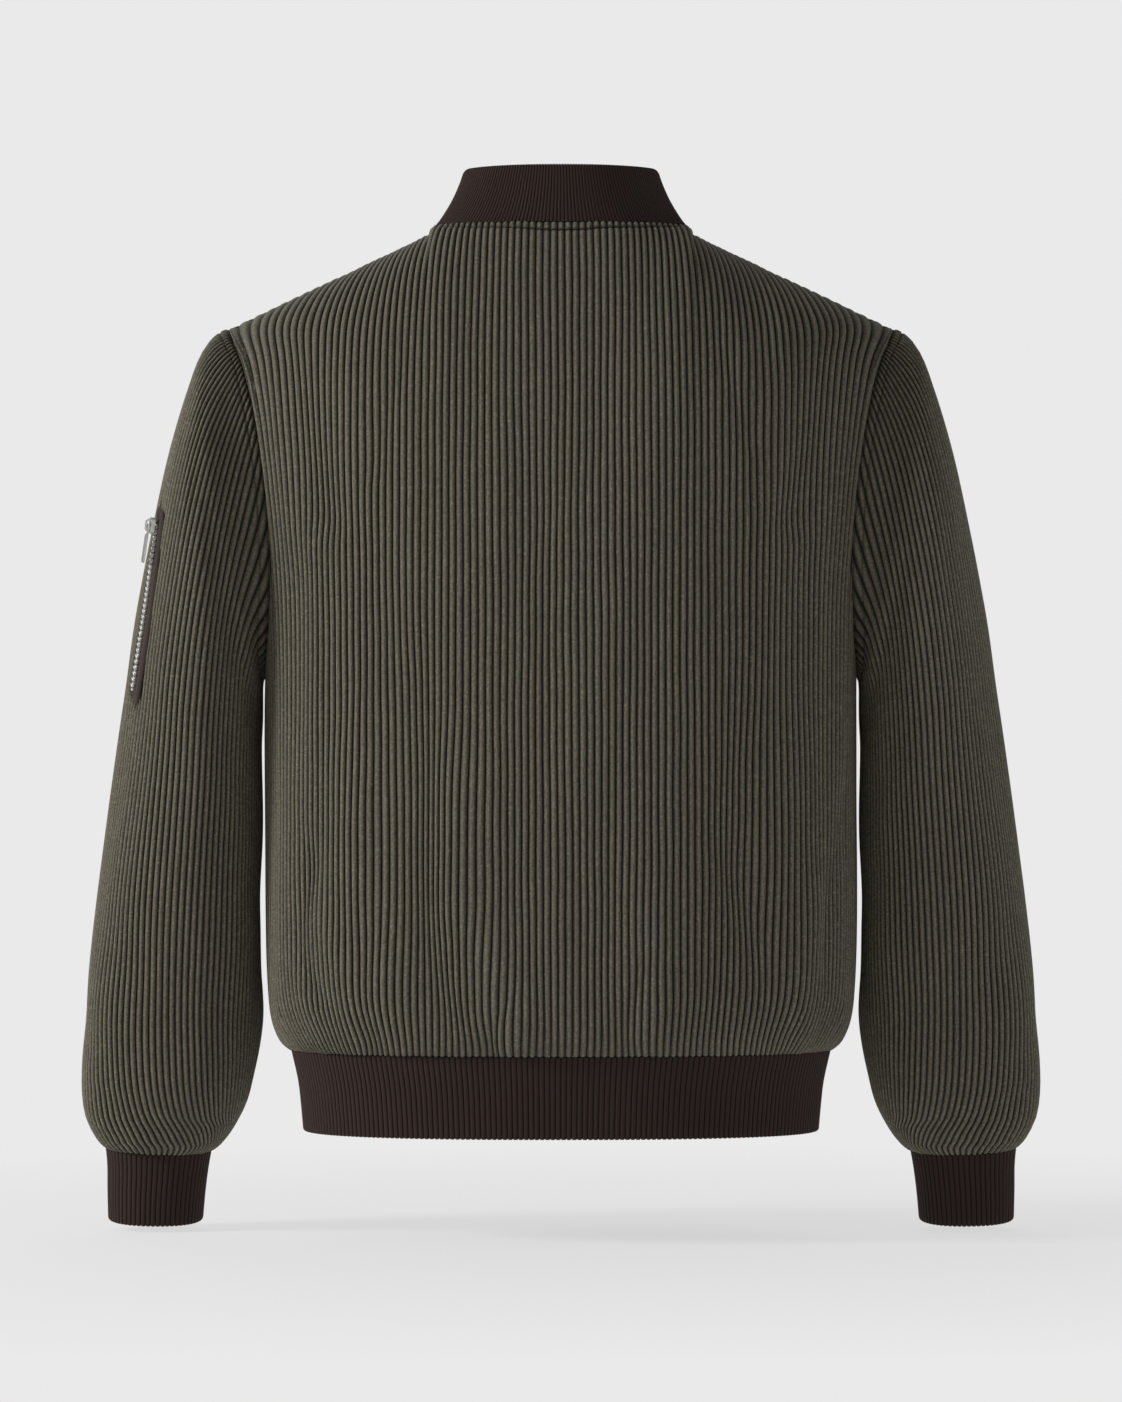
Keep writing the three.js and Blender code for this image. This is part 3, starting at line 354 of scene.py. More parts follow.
def ripples(u: Array, v: Array, seed: int, longest: float = 90.0) -> Array:
    """Slight unevenness of cloth: a sum of long low waves in mixed directions, in millimetres.

    Args:
        u: place across the cloth.
        v: place along it.
        seed: which waves.
        longest: the longest wave's length.

    Returns:
        The rise at each place.
    """
    chance = np.random.default_rng(seed)
    out = np.zeros(np.broadcast(u, v).shape)
    for step in range(7):
        length = longest / (1 + 0.45 * step)
        way = chance.uniform(-0.6, 0.6)
        phase = chance.uniform(0, 2 * math.pi)
        across, along = math.cos(way), math.sin(way)
        out += np.sin((u * across + v * along) * 2 * math.pi / length + phase) / (1 + step)
    return out


class BodyForm:
    """The body's outer surface: arc round it from the centre back, up from the hem seam."""

    TABLE_STEPS = 3000
    UPRIGHT_OVER = 110.0

    def __init__(self) -> None:
        """Measures the chest section, so that an arc can be turned into a turn."""
        ease = (1 - np.cos(np.linspace(0, math.pi, self.TABLE_STEPS))) / 2
        self.back_turns, self.front_turns = ease * QUARTER, math.pi - ease * QUARTER
        self.back_arcs = self._lengths(self.back_turns)
        self.front_arcs = self._lengths(self.front_turns)
        self.back_arc, self.front_arc = self.back_arcs[-1], self.front_arcs[-1]
        self.total = self.back_arc + self.front_arc
        self.edge_arc = float(
            np.interp(
                edge_turn(BODY, np.float64(CHEST_Z)),
                math.pi - self.front_turns,
                self.front_arcs,
            )
        )

    def _lengths(self, turns: Array) -> Array:
        """Length of the chest section up to each turn."""
        steps = np.linalg.norm(np.diff(section(BODY, turns, np.float64(CHEST_Z)), axis=0), axis=1)
        return np.concatenate([[0.0], np.cumsum(steps)])

    def turn(self, arc: Array) -> Array:
        """The turn at a distance round the body from the centre back."""
        far = np.abs(arc)
        back = np.interp(far, self.back_arcs, self.back_turns)
        front = np.interp(self.total - far, self.front_arcs, self.front_turns)
        return np.where(arc < 0, -1, 1) * np.where(far <= self.back_arc, back, front)

    def seam(self, arc: Array) -> Array:
        """The seam that a column of cloth runs up to: neck, shoulder ridge or armhole.

        Args:
            arc: distances round the body.

        Returns:
            The points on the seam.
        """
        front = np.abs(arc) > self.back_arc
        far = np.where(front, self.total - np.abs(arc), np.abs(arc))
        total = np.where(front, self.front_arc, self.back_arc)
        angle = np.arcsin(np.clip(far / NECK_HALF, 0, 1))
        neck = neck_point(np.where(front, math.pi - angle, angle))
        share = np.clip((far - NECK_HALF) / (total - SHOULDER_FROM_SIDE - NECK_HALF), 0, 1)
        side_z = neck_point(np.float64(QUARTER))[2]
        ridge = point(mix(NECK_HALF, TIP_X, share), 0, mix(side_z, TIP_Z, share))
        left = total - far
        gap = SHOULDER_FROM_SIDE - BESIDE_FROM_SIDE
        low = math.sin(LOWER_ARMHOLE)
        under = math.pi - np.arcsin(np.clip(left / BESIDE_FROM_SIDE, 0, 1) * low)
        beside = LOWER_ARMHOLE * (SHOULDER_FROM_SIDE - left) / gap
        round_arm = np.where(left > BESIDE_FROM_SIDE, beside, under)
        arm = armhole_point(np.where(front, -1, 1) * round_arm)
        on_neck, on_ridge = far < NECK_HALF, far < total - SHOULDER_FROM_SIDE
        found = np.where(on_neck[..., None], neck, np.where(on_ridge[..., None], ridge, arm))
        found[..., 0] *= np.where(arc < 0, -1, 1)
        return found

    def level(self, arc: Array, z: Array) -> Array:
        """The body's section at a level, with the two front edges kept straight.

        Away from the armholes a column keeps the distance from the middle that it has at the chest.

        Args:
            arc: distances round the body.
            z: levels.

        Returns:
            The points.
        """
        turn = self.turn(arc)
        edge, chest = edge_turn(BODY, z), edge_turn(BODY, np.float64(CHEST_Z))
        past = np.clip((np.abs(turn) - QUARTER) / (QUARTER - chest), 0, 1.2)
        side = np.where(arc < 0, -1, 1)
        found = section(BODY, np.where(past > 0, side * mix(QUARTER, math.pi - edge, past), turn), z)
        front = np.abs(arc) > self.back_arc
        far = np.where(front, self.total - np.abs(arc), np.abs(arc))
        total = np.where(front, self.front_arc, self.back_arc) - SHOULDER_FROM_SIDE
        upright = soften((total - far) / self.UPRIGHT_OVER)
        across = section(BODY, turn, np.float64(CHEST_Z) + 0 * z)[..., 0]
        share = np.abs(mix(found[..., 0], across, upright)) / BODY.at("half", z)
        angle = np.arcsin(np.clip(share, 0, 1) ** (BODY.at("square", z) / 2))
        straight = section(BODY, side * np.where(front, math.pi - angle, angle), z)
        return np.where((upright > 0)[..., None], straight, found)

    def fold(self, arc: Array, z: Array) -> tuple[Array, Array]:
        """How far the folds move the cloth outwards, and sideways towards a trough.

        Each is a bell across its centre line, faded at its head and foot.

        Args:
            arc: distances round the body.
            z: levels.

        Returns:
            The outward and the sideways moves.
        """
        out, side = np.zeros(arc.shape), np.zeros(arc.shape)
        for f in BODY_FOLDS:
            down = (f.top - z) / (f.top - f.foot)
            fade = soften(down * 2.5) * soften((1.06 - down) * 6)
            centre = f.arc + f.lean * down + f.sway * np.sin(down * 2 * math.pi)
            q = (arc - centre) / f.width
            out += fade * f.depth * bell(q)
            side += fade * f.depth * 0.9 * q * bell(q)
        return out, side

    def surface(self, arc: Array, up: Array, folded: bool = True) -> Array:
        """The outer surface: sections from the hem seam up, pulled in to the seam at the top.

        Args:
            arc: distances round the body.
            up: 0 at the hem seam, 1 at the top seam.
            folded: whether the folds are on it.

        Returns:
            The points.
        """
        arc, up = np.broadcast_arrays(arc, up)
        seam = self.seam(arc)
        z = mix(HEM_SEAM_Z, seam[..., 2], 1 - (1 - up) ** TOP_EASE)
        found, head = self.level(arc, z), self.level(arc, seam[..., 2])
        found[..., 0] += (seam[..., 0] - head[..., 0]) * up**SIDEWAYS_PULL
        far = np.minimum(np.abs(arc), self.total - np.abs(arc))
        centre = np.where(np.abs(arc) > self.back_arc, NECK_FRONT, -NECK_BACK)
        eased = mix(centre, 0, soften((far - RIDGE_FROM) / (RIDGE_TO - RIDGE_FROM)))
        ridge = np.where(far > RIDGE_TO, seam[..., 1], eased)
        found[..., 1] += (ridge - head[..., 1]) * up**FORWARD_PULL
        found[..., 1] += (seam[..., 1] - ridge) * up**SEAM_PULL
        if folded:
            away = unit(found * np.array([1.0, 2.0, 0.0]))
            sideways = np.stack([-away[..., 1], away[..., 0], np.zeros(arc.shape)], -1)
            out, side = self.fold(arc, z)
            calm = soften((1 - up) * 5) * soften(up * 9)
            out = out + 0.5 * calm * ripples(arc, z * 0.4, 3)
            side = side + 0.35 * calm * ripples(arc * 0.7, z, 8)
            found += away * out[..., None] + sideways * side[..., None]
        return found

    def wale_place(self, arc: Array, up: Array) -> Array:
        """Distance across the wales from the centre: the arc, but true width beside the armhole.

        Args:
            arc: distances round the body.
            up: 0 at the hem seam, 1 at the top seam.

        Returns:
            The distances, in millimetres.
        """
        front = np.abs(arc) > self.back_arc
        far = np.where(front, self.total - np.abs(arc), np.abs(arc))
        place = far.copy()
        for is_front, total in ((False, self.back_arc), (True, self.front_arc)):
            shoulder = total - SHOULDER_FROM_SIDE
            gap = SHOULDER_FROM_SIDE - BESIDE_FROM_SIDE
            band = (front == is_front) & (far > shoulder) & (far < shoulder + gap)
            if not band.any():
                continue
            edge = self.back_arc + SHOULDER_FROM_SIDE if is_front else shoulder
            line = self.surface(np.float64(edge), np.linspace(0, 1, 400), False)
            here = self.surface(np.abs(arc[band]), up[band], False)
            x = np.interp(here[:, 2], line[:, 2], line[:, 0])
            y = np.interp(here[:, 2], line[:, 2], line[:, 1])
            wide = np.hypot(here[:, 0] - x, here[:, 1] - y)
            past = far[band] - shoulder
            place[band] = shoulder + mix(wide, past, soften((past / gap - 0.55) / 0.45))
        return place


class SleeveForm:
    """The right sleeve and cuff as rings between an outer and an inner rail."""

    def __init__(self) -> None:
        """Measures how far each table's turned rings reach, so that they fit their rails."""
        self.widest = {}
        for rows in (SLEEVE, CUFF):
            rings = np.linspace(0, rows.last, 240)[:, None]
            places = np.linspace(0, 2 * math.pi, 91)[None, :-1]
            self.widest[id(rows)] = (rings[:, 0], self._shape(rows, rings, places)[0].max(1))

    def _shape(self, rows: Table, ring: Array, angle: Array) -> tuple[Array, Array]:
        """A ring's outline across and in depth: a superellipse, turned about its middle.

        Args:
            rows: the table of rings.
            ring: places along the table.
            angle: 0 at the outer rail, 90 degrees at the back.

        Returns:
            The outline along the line between the rails, and front to back.
        """
        span = np.hypot(
            rows.at("outX", ring) - rows.at("inX", ring),
            rows.at("outZ", ring) - rows.at("inZ", ring),
        )
        a = span / 2 * power(np.cos(angle), 2 / SLEEVE_SQUARE)
        b = rows.at("depth", ring) * power(np.sin(angle), 2 / SLEEVE_SQUARE)
        turn = rows.at("turn", ring) * DEGREE
        return a * np.cos(turn) - b * np.sin(turn), b * np.cos(turn) + a * np.sin(turn)

    def ring(self, rows: Table, ring: Array, angle: Array) -> Array:
        """The points of rings: the outline laid between the two rails and tilted back.

        Args:
            rows: the table of rings.
            ring: places along the table.
            angle: 0 at the outer rail, 90 degrees at the back.

        Returns:
            The points.
        """
        ring, angle = np.broadcast_arrays(ring, angle)
        out = point(rows.at("outX", ring), 0.0, rows.at("outZ", ring))
        into = point(rows.at("inX", ring), 0.0, rows.at("inZ", ring))
        half = np.linalg.norm(out - into, axis=-1) / 2
        a, b = self._shape(rows, ring, angle)
        a = a * half / np.interp(ring, *self.widest[id(rows)])
        tilt = rows.at("tilt", ring) * DEGREE
        found = (out + into) / 2 + unit(out - into) * a[..., None]
        shift = rows.at("middle", ring) - b * np.cos(tilt)
        return found + point(np.zeros(ring.shape), shift, -b * np.sin(tilt))

    def surface(self, angle: Array, along: Array, folded: bool = True) -> Array:
        """The sleeve's outer surface: rings, blended near the top into the armhole's outline.

        Args:
            angle: 0 at the outer rail, 90 degrees at the back.
            along: 0 at the armhole, 1 at the cuff.
            folded: whether the folds are on it.

        Returns:
            The points.
        """
        angle, along = np.broadcast_arrays(angle, along)
        ring = along * SLEEVE.last
        found = self.ring(SLEEVE, ring, angle)
        blend = soften(ring / BLEND_RINGS)
        seam = armhole_point(angle)
        seam[..., 0] += 0.3 + (found[..., 0] - seam[..., 0]) * blend
        found = mix(found, seam, (1 - blend)[..., None])
        if not folded:
            return found
        rails = self.ring(SLEEVE, ring, 0.0) + self.ring(SLEEVE, ring, math.pi)
        away = unit(found - rails / 2)
        out = np.zeros(ring.shape)
        for f in SLEEVE_FOLDS:
            turned = (angle / DEGREE - f.angle + 540) % 360 - 180
            out += f.depth * bell((ring - f.ring - f.slope * turned / f.span) / f.rings) * bell(
                turned / f.span
            )
        calm = soften(ring / 3) * soften((SLEEVE.last - ring) / 2)
        out += 0.5 * calm * ripples(70 * np.sin(angle), 70 * np.cos(angle) + ring * 14, 5)
        return found + away * out[..., None]


BODY_FORM = BodyForm()
SLEEVE_FORM = SleeveForm()


def collar_surface(share: Array, up: Array) -> Array:
    """The collar: the neck seam drawn in by the collar's profile and raised.

    Args:
        share: -1 to 1 round the back, from front edge to front edge.
        up: 0 at the neck seam, 1 at the fold.

    Returns:
        The points.
    """
    width = COLLAR.at("width", up)
    end = np.arcsin(FRONT_EDGE / (NECK_HALF * width))
    base = neck_point(share * (math.pi - end))
    rise = 0.3 + COLLAR_HEIGHT * up
    return point(base[..., 0] * width, base[..., 1] * COLLAR.at("depth", up), base[..., 2] + rise)


def hem_surface(share: Array, up: Array) -> Array:
    """The waistband: sections of its table between the two front edges."""
    z = mix(HEM_BOTTOM_Z, HEM_SEAM_Z - 0.15, up)
    return section(HEM, share * (math.pi - edge_turn(HEM, z)), z)


def cuff_surface(share: Array, up: Array) -> Array:
    """The right cuff: rings of its table, up from its bottom edge."""
    return SLEEVE_FORM.ring(CUFF, (1 - up) * CUFF.last, share * 2 * math.pi)


def front_line(along: Array) -> Array:
    """The centre-front line, from the waistband's bottom to the collar's top."""
    hem, body = HEM_SEAM_Z - HEM_BOTTOM_Z, -NECK_DROP - HEM_SEAM_Z
    far = along * (hem + body + COLLAR_HEIGHT)
    up = 1 - np.clip(1 - (far - hem) / body, 0, 1) ** (1 / TOP_EASE)
    y = BODY_FORM.surface(np.float64(BODY_FORM.total - FRONT_EDGE), up, False)[..., 1]
    one = np.ones(far.shape)
    y = np.where(far < hem, hem_surface(one, far / hem)[..., 1], y)
    over = far > hem + body
    neck = collar_surface(one, np.clip((far - hem - body) / COLLAR_HEIGHT, 0, 1))[..., 1]
    return point(0.0, np.where(over, neck, y), HEM_BOTTOM_Z + far)


def front_spot(across: Array, along: Array, lift: Array) -> Array:
    """A place on the front zip: sideways, a share of the way up, and out from the cloth."""
    step = 0.012
    way = unit(front_line(np.minimum(along + step, 1)) - front_line(np.maximum(along - step, 0)))
    out = point(0.0, way[..., 2], -way[..., 1])
    return front_line(along) + out * np.asarray(lift)[..., None] + point(across, 0.0, 0.0)


def pocket_speed() -> float:
    """How far round the sleeve one radian of its angle goes at the pocket's middle."""
    middle = np.float64((POCKET_TOP + POCKET_FOOT) / 2 / SLEEVE.last)
    ends = SLEEVE_FORM.surface(POCKET_TURN + np.array([-0.1, 0.1]), middle, False)
    return float(np.linalg.norm(ends[1] - ends[0]) / 0.2)


def pocket_spot(across: Array, along: Array, lift: Array) -> Array:
    """A place on the left sleeve's pocket: round the sleeve, a share of the way down, and out."""
    tiny = 0.01
    at = mix(POCKET_TOP, POCKET_FOOT, along) / SLEEVE.last
    angle = POCKET_TURN + across / pocket_speed()
    round_it = SLEEVE_FORM.surface(angle + tiny, at, False) - SLEEVE_FORM.surface(
        angle - tiny, at, False
    )
    down = SLEEVE_FORM.surface(angle, at + tiny, False) - SLEEVE_FORM.surface(
        angle, at - tiny, False
    )
    out = unit(np.cross(round_it, down))
    out = np.where(out[..., :1] < 0, -out, out)
    found = SLEEVE_FORM.surface(angle, at, False) + out * np.asarray(lift)[..., None]
    return found * np.array([-1.0, 1.0, 1.0])


def flat_size(plain: Array, closed: bool) -> tuple[float, float, float]:
    """Longest row, longest column and area of a grid of plain cloth, in metres."""
    ring = np.concatenate([plain, plain[:, :1]], 1) if closed else plain
    across, along = np.diff(ring, axis=1), np.diff(ring, axis=0)
    wide = np.linalg.norm(across, axis=-1).sum(1).max() * MM
    long = np.linalg.norm(along, axis=-1).sum(0).max() * MM
    cells = np.linalg.norm(np.cross(across[:-1], along[:, :-1]), axis=-1)
    return float(wide), float(long), float(cells.sum() * MM**2)


def normals(points: Array, closed: bool) -> Array:
    """Unit normals of a rounded grid: the cross product of its steps, turned away from its middle.

    Args:
        points: rows and columns of points.
        closed: whether the last column joins the first.

    Returns:
        The normals.
    """
    if closed:
        across = np.roll(points, -1, 1) - np.roll(points, 1, 1)
    else:
        across = np.gradient(points, axis=1)
    found = unit(np.cross(across, np.gradient(points, axis=0)))
    outward = ((points - points.mean(axis=(0, 1))) * found).sum()
    return found if outward > 0 else -found


def strip(a: Array, b: Array) -> Array:
    """Triangles between two edges of vertex numbers, however many each has.

    Args:
        a: the first edge.
        b: the second edge, which runs the same way.

    Returns:
        The triangles.
    """
    na, nb = len(a) - 1, len(b) - 1
    if na >= nb:
        i, k = np.arange(na), np.arange(nb)
        m = -(-(k + 1) * na // nb)
        first = np.stack([a[i], b[i * nb // na], a[i + 1]], 1)
        return np.concatenate([first, np.stack([a[m], b[k], b[k + 1]], 1)])
    i, k = np.arange(nb), np.arange(na)
    m = -(-(k + 1) * nb // na)
    first = np.stack([a[i * na // nb], b[i], b[i + 1]], 1)
    return np.concatenate([first, np.stack([a[k], b[m], a[k + 1]], 1)])


def lattice(numbers: Array) -> Array:
    """Two triangles for each cell of a grid of vertex numbers, turned as strip turns them."""
    a, b, c, d = numbers[:-1, :-1], numbers[:-1, 1:], numbers[1:, :-1], numbers[1:, 1:]
    one, two = np.stack([a, c, b], -1), np.stack([b, c, d], -1)
    return np.concatenate([one.reshape(-1, 3), two.reshape(-1, 3)])


@dataclass
class Skin:
    """Points, triangles and cloth coordinates that become one mesh."""

    points: Array
    faces: Array
    relief: Array
    cloth: Array
    flat: tuple[float, float, float] | None = None

    @staticmethod
    def of(points: Array, faces: Array) -> "Skin":
        """A skin with no relief, whose cloth coordinates are its points."""
        return Skin(points, faces, np.full(len(points), 0.5), points.copy())

    def mirrored(self) -> "Skin":
        """The same on the other side of the middle, still facing outwards."""
        other = self.points * np.array([-1.0, 1.0, 1.0])
        return Skin(other, self.faces[:, ::-1], self.relief, self.cloth, self.flat)

    def outward(self) -> "Skin":
        """The same with its faces turned outwards, by the sign of the volume they enclose."""
        p, q, r = (self.points[self.faces[:, k]] for k in range(3))
        if np.einsum("ij,ij->", p, np.cross(q, r)) < 0:
            self.faces = self.faces[:, ::-1]
        return self

    def piece(self, name: str, material: bpy.types.Material, sharp: float = 60.0) -> bpy.types.Object:
        """Makes the mesh and its object.

        Args:
            name: the object's name.
            material: its finish.
            sharp: edges that turn by more than this many degrees stay sharp.

        Returns:
            The object.
        """
        mesh = bpy.data.meshes.new(name)
        mesh.vertices.add(len(self.points))
        mesh.vertices.foreach_set("co", (self.points * MM).astype(np.float32).ravel())
        mesh.loops.add(self.faces.size)
        mesh.loops.foreach_set("vertex_index", self.faces.astype(np.int32).ravel())
        mesh.polygons.add(len(self.faces))
        mesh.polygons.foreach_set("loop_start", np.arange(0, self.faces.size, 3, dtype=np.int32))
        mesh.update(calc_edges=True)
        mesh.polygons.foreach_set("use_smooth", np.ones(len(self.faces), bool))
        mesh.set_sharp_from_angle(angle=math.radians(sharp))
        relief = mesh.attributes.new("relief", "FLOAT", "POINT")
        relief.data.foreach_set("value", self.relief.astype(np.float32))
        cloth = mesh.attributes.new("cloth", "FLOAT_VECTOR", "POINT")
        cloth.data.foreach_set("vector", self.cloth.astype(np.float32).ravel())
        mesh.materials.append(material)
        made = bpy.data.objects.new(name, mesh)
        bpy.context.scene.collection.objects.link(made)
        log.info("%s: %d triangles", name, len(self.faces))
        return made


def gathered(skins: Sequence[Skin]) -> Skin:
    """Several skins as one."""
    starts = np.cumsum([0] + [len(s.points) for s in skins[:-1]])
    return Skin(
        np.concatenate([s.points for s in skins]),
        np.concatenate([s.faces + n for s, n in zip(skins, starts)]),
        np.concatenate([s.relief for s in skins]),
        np.concatenate([s.cloth for s in skins]),
    )


def even_rows(
    places: Array,
    points: Array,
    head: Sequence[float],
    foot: Sequence[float],
    middle: int,
    stretch: Array | float = 1.0,
) -> tuple[Array, Array, Array]:
    """Places along each column whose rows lie at set distances from both of its ends.

    The columns' lengths are laid end to end and searched at once.

    Args:
        places: the parameter at each row of points.
        points: rows and columns of points.
        head: distances of the first rows from the first end.
        foot: distances of the last rows from the last end.
        middle: how many rows are spread between them.
        stretch: how much further apart the first rows are on a column that leaves at a slant.

    Returns:
        The parameter, the distance from the first end and the distance from the last.
    """
    steps = np.linalg.norm(np.diff(points, axis=0), axis=-1)
    far = np.concatenate([np.zeros((1, steps.shape[1])), np.cumsum(steps, axis=0)])
    total = far[-1]
    first = np.array(head)[:, None] * stretch + 0 * total
    last = total - np.array(foot)[::-1][:, None]
    share = np.linspace(0, 1, middle + 2)[1:-1, None]
    wanted = np.concatenate([first, mix(first[-1], last[0], share), last])
    offset = np.arange(len(total)) * (total.max() + 1)
    found = np.interp(
        (wanted + offset).ravel("F"), (far + offset).ravel("F"), np.tile(places, len(total))
    )
    return found.reshape(wanted.shape, order="F"), wanted, total - wanted


@dataclass
class Corduroy:
    """Raises wales on a grid of plain cloth and closes it with a plain inner wall."""

    height: float = 2.5
    sunk: float = 1.4
    roundness: float = 2.0
    steepness: float = 0.82
    end_round: float = 2.6
    pinch: float = 0.8
    inner_columns: int = 14
    inner_rows: int = 4

    def crown(self, place: Array) -> Array:
        """A wale's profile from valley to crown: the root of one less a power of the offset."""
        offset = np.abs(2 * (place / WALE_PITCH % 1.0) - 1)
        return np.clip(1 - offset**self.roundness, 0, 1) ** self.steepness

    def skin(
        self, plain: Array, place: Array, head: Array, foot: Array, stitch: Array, closed: bool
    ) -> Skin:
        """The closed wall.

        Args:
            plain: rows and columns of points of the plain surface.
            place: distance across the wales.
            head: distance from the first seam.
            foot: distance from the last seam.
            stitch: 0 to 1, how hard a line of stitching pinches the cloth.
            closed: whether the columns go all round.

        Returns:
            The skin.
        """
        away = normals(plain, closed)
        end = np.minimum(np.minimum(head, foot) / self.end_round, 1)
        rounded = np.sqrt(np.clip(1 - (1 - end) ** 2, 0, 1))
        crown = self.crown(place)
        # The relief is the wales' height and also their colour: the material paints shade where it is
        # low, so the rounded wale ends at the seams and the pinched stitch lines are painted darker too
        relief = crown * rounded * (1 - self.pinch * stitch)
        out = self.height * relief - self.sunk - 0.4 * self.pinch * stitch
        uneven = 0.14 * ripples(place * 3.1, head * 0.5, 11, 120.0)
        outer = plain + away * (out + uneven * crown)[..., None]
        rows, columns = plain.shape[:2]
        pick_r = np.unique(np.append(np.arange(0, rows, self.inner_rows), rows - 1))
        pick_c = np.arange(0, columns, self.inner_columns)
        if not closed:
            pick_c = np.unique(np.append(pick_c, columns - 1))
        inner = (plain - away * CORD_THICK)[pick_r][:, pick_c]
        found = walled(outer, inner, relief, point(place, head, 0.0), closed)
        found.flat = flat_size(plain, closed)
        return found


def walled(outer: Array, inner: Array, relief: Array, cloth: Array, closed: bool) -> Skin:
    """Joins an outer and a coarser inner grid into one closed wall.

    Args:
        outer: rows and columns of outer points.
        inner: rows and columns of inner points.
        relief: the outer points' relief.
        cloth: the outer points' cloth coordinates.
        closed: whether the columns go all round.

    Returns:
        The skin.
    """
    out_ids = np.arange(outer.shape[0] * outer.shape[1]).reshape(outer.shape[:2])
    in_ids = out_ids.size + np.arange(inner.shape[0] * inner.shape[1]).reshape(inner.shape[:2])
    if closed:
        out_ids = np.concatenate([out_ids, out_ids[:, :1]], 1)
        in_ids = np.concatenate([in_ids, in_ids[:, :1]], 1)
    faces = [lattice(out_ids), lattice(in_ids)[:, ::-1]]
    faces += [strip(in_ids[0], out_ids[0]), strip(out_ids[-1], in_ids[-1])]
    if not closed:
        faces += [strip(out_ids[:, 0], in_ids[:, 0]), strip(in_ids[:, -1], out_ids[:, -1])]
    points = np.concatenate([outer.reshape(-1, 3), inner.reshape(-1, 3)])
    inside = inner.shape[0] * inner.shape[1]
    return Skin(
        points,
        np.concatenate(faces),
        np.concatenate([relief.ravel(), np.full(inside, 0.5)]),
        np.concatenate([cloth.reshape(-1, 3), inner.reshape(-1, 3)]),
    ).outward()


@dataclass
class BodyPanel:
    """A body panel of corduroy between two arcs of the body."""

    name: str
    start: float
    end: float
    rows: int = 62

    SEAM_ROWS = (0, 0.5, 1.2, 2.2, 3.6, 5.2, 6.5, 7.2, 7.8, 8.4, 9.2, 10.8, 13.5, 17.5)
    HEM_ROWS = (0, 0.5, 1.3, 2.4, 4.0, 6.5, 10, 14.5, 20)
    STITCH_FROM_SEAM = 7.8
    SWING, SWING_EASE = 28.0, 7
    HEM_SWING, HEM_SWING_UP = 15.0, 0.032

    def swung(self, arc: Array, up: Array) -> Array:
        """The arc that a column has reached: it swings towards the middle at its top and foot."""
        front = np.abs(arc) > BODY_FORM.back_arc
        far = np.where(front, BODY_FORM.total - np.abs(arc), np.abs(arc))
        total = np.where(front, BODY_FORM.front_arc, BODY_FORM.back_arc) - SHOULDER_FROM_SIDE
        share = np.clip(far / total, 0, 1)
        inward = self.SWING * 9.48 * share**3 * (1 - share) * up**self.SWING_EASE
        share = np.clip(far / (total + SHOULDER_FROM_SIDE), 0, 1)
        inward += self.HEM_SWING * 9.48 * share**3 * (1 - share) * bell(up / self.HEM_SWING_UP)
        return arc - np.sign(arc) * np.where(front, -1, 1) * inward

    def columns(self) -> Array:
        """Arcs of the columns: steps of a wale, closer together beside the armhole."""
        found = []
        for total, base, way in (
            (BODY_FORM.back_arc, 0.0, 1.0),
            (BODY_FORM.front_arc, BODY_FORM.total, -1.0),
        ):
            far = (np.arange(0, math.ceil(total / WALE_PITCH) + 1)[:, None] + WALE_STEPS).ravel()
            far = (far - 0.5) * WALE_PITCH
            low, high = total - SHOULDER_FROM_SIDE, total - BESIDE_FROM_SIDE
            far = far[(far > -0.01) & (far < total - 0.1)]
            far = far[(far < low - 0.1) | (far > high + 0.1)]
            far = np.concatenate([far, np.linspace(low, high, 46)])
            found.append(base + way * far)
        arcs = np.concatenate(found)
        arcs = np.concatenate([arcs, -arcs, [self.start, self.end]])
        return np.unique(np.round(arcs[(arcs >= self.start) & (arcs <= self.end)], 4))

    def skin(self) -> Skin:
        """The panel: its columns cut into rows by length, then raised into wales."""
        arcs = self.columns()[None, :]
        dense = np.linspace(1, 0, 420)
        up, head, foot = even_rows(
            dense,
            BODY_FORM.surface(self.swung(arcs, dense[:, None]), dense[:, None], False),
            self.SEAM_ROWS,
            self.HEM_ROWS,
            self.rows,
        )
        arc = np.broadcast_to(arcs, up.shape)
        place = BODY_FORM.wale_place(arc, up) + WALE_PITCH / 2
        far = np.minimum(np.abs(arc), BODY_FORM.total - np.abs(arc))
        at_neck = soften((NECK_HALF + 2 - far) / 4)
        stitch = at_neck * bell((head - self.STITCH_FROM_SEAM) / 1.1)
        plain = BODY_FORM.surface(self.swung(arc, up), up)
        return Corduroy().skin(plain, place, head, foot, stitch, False)


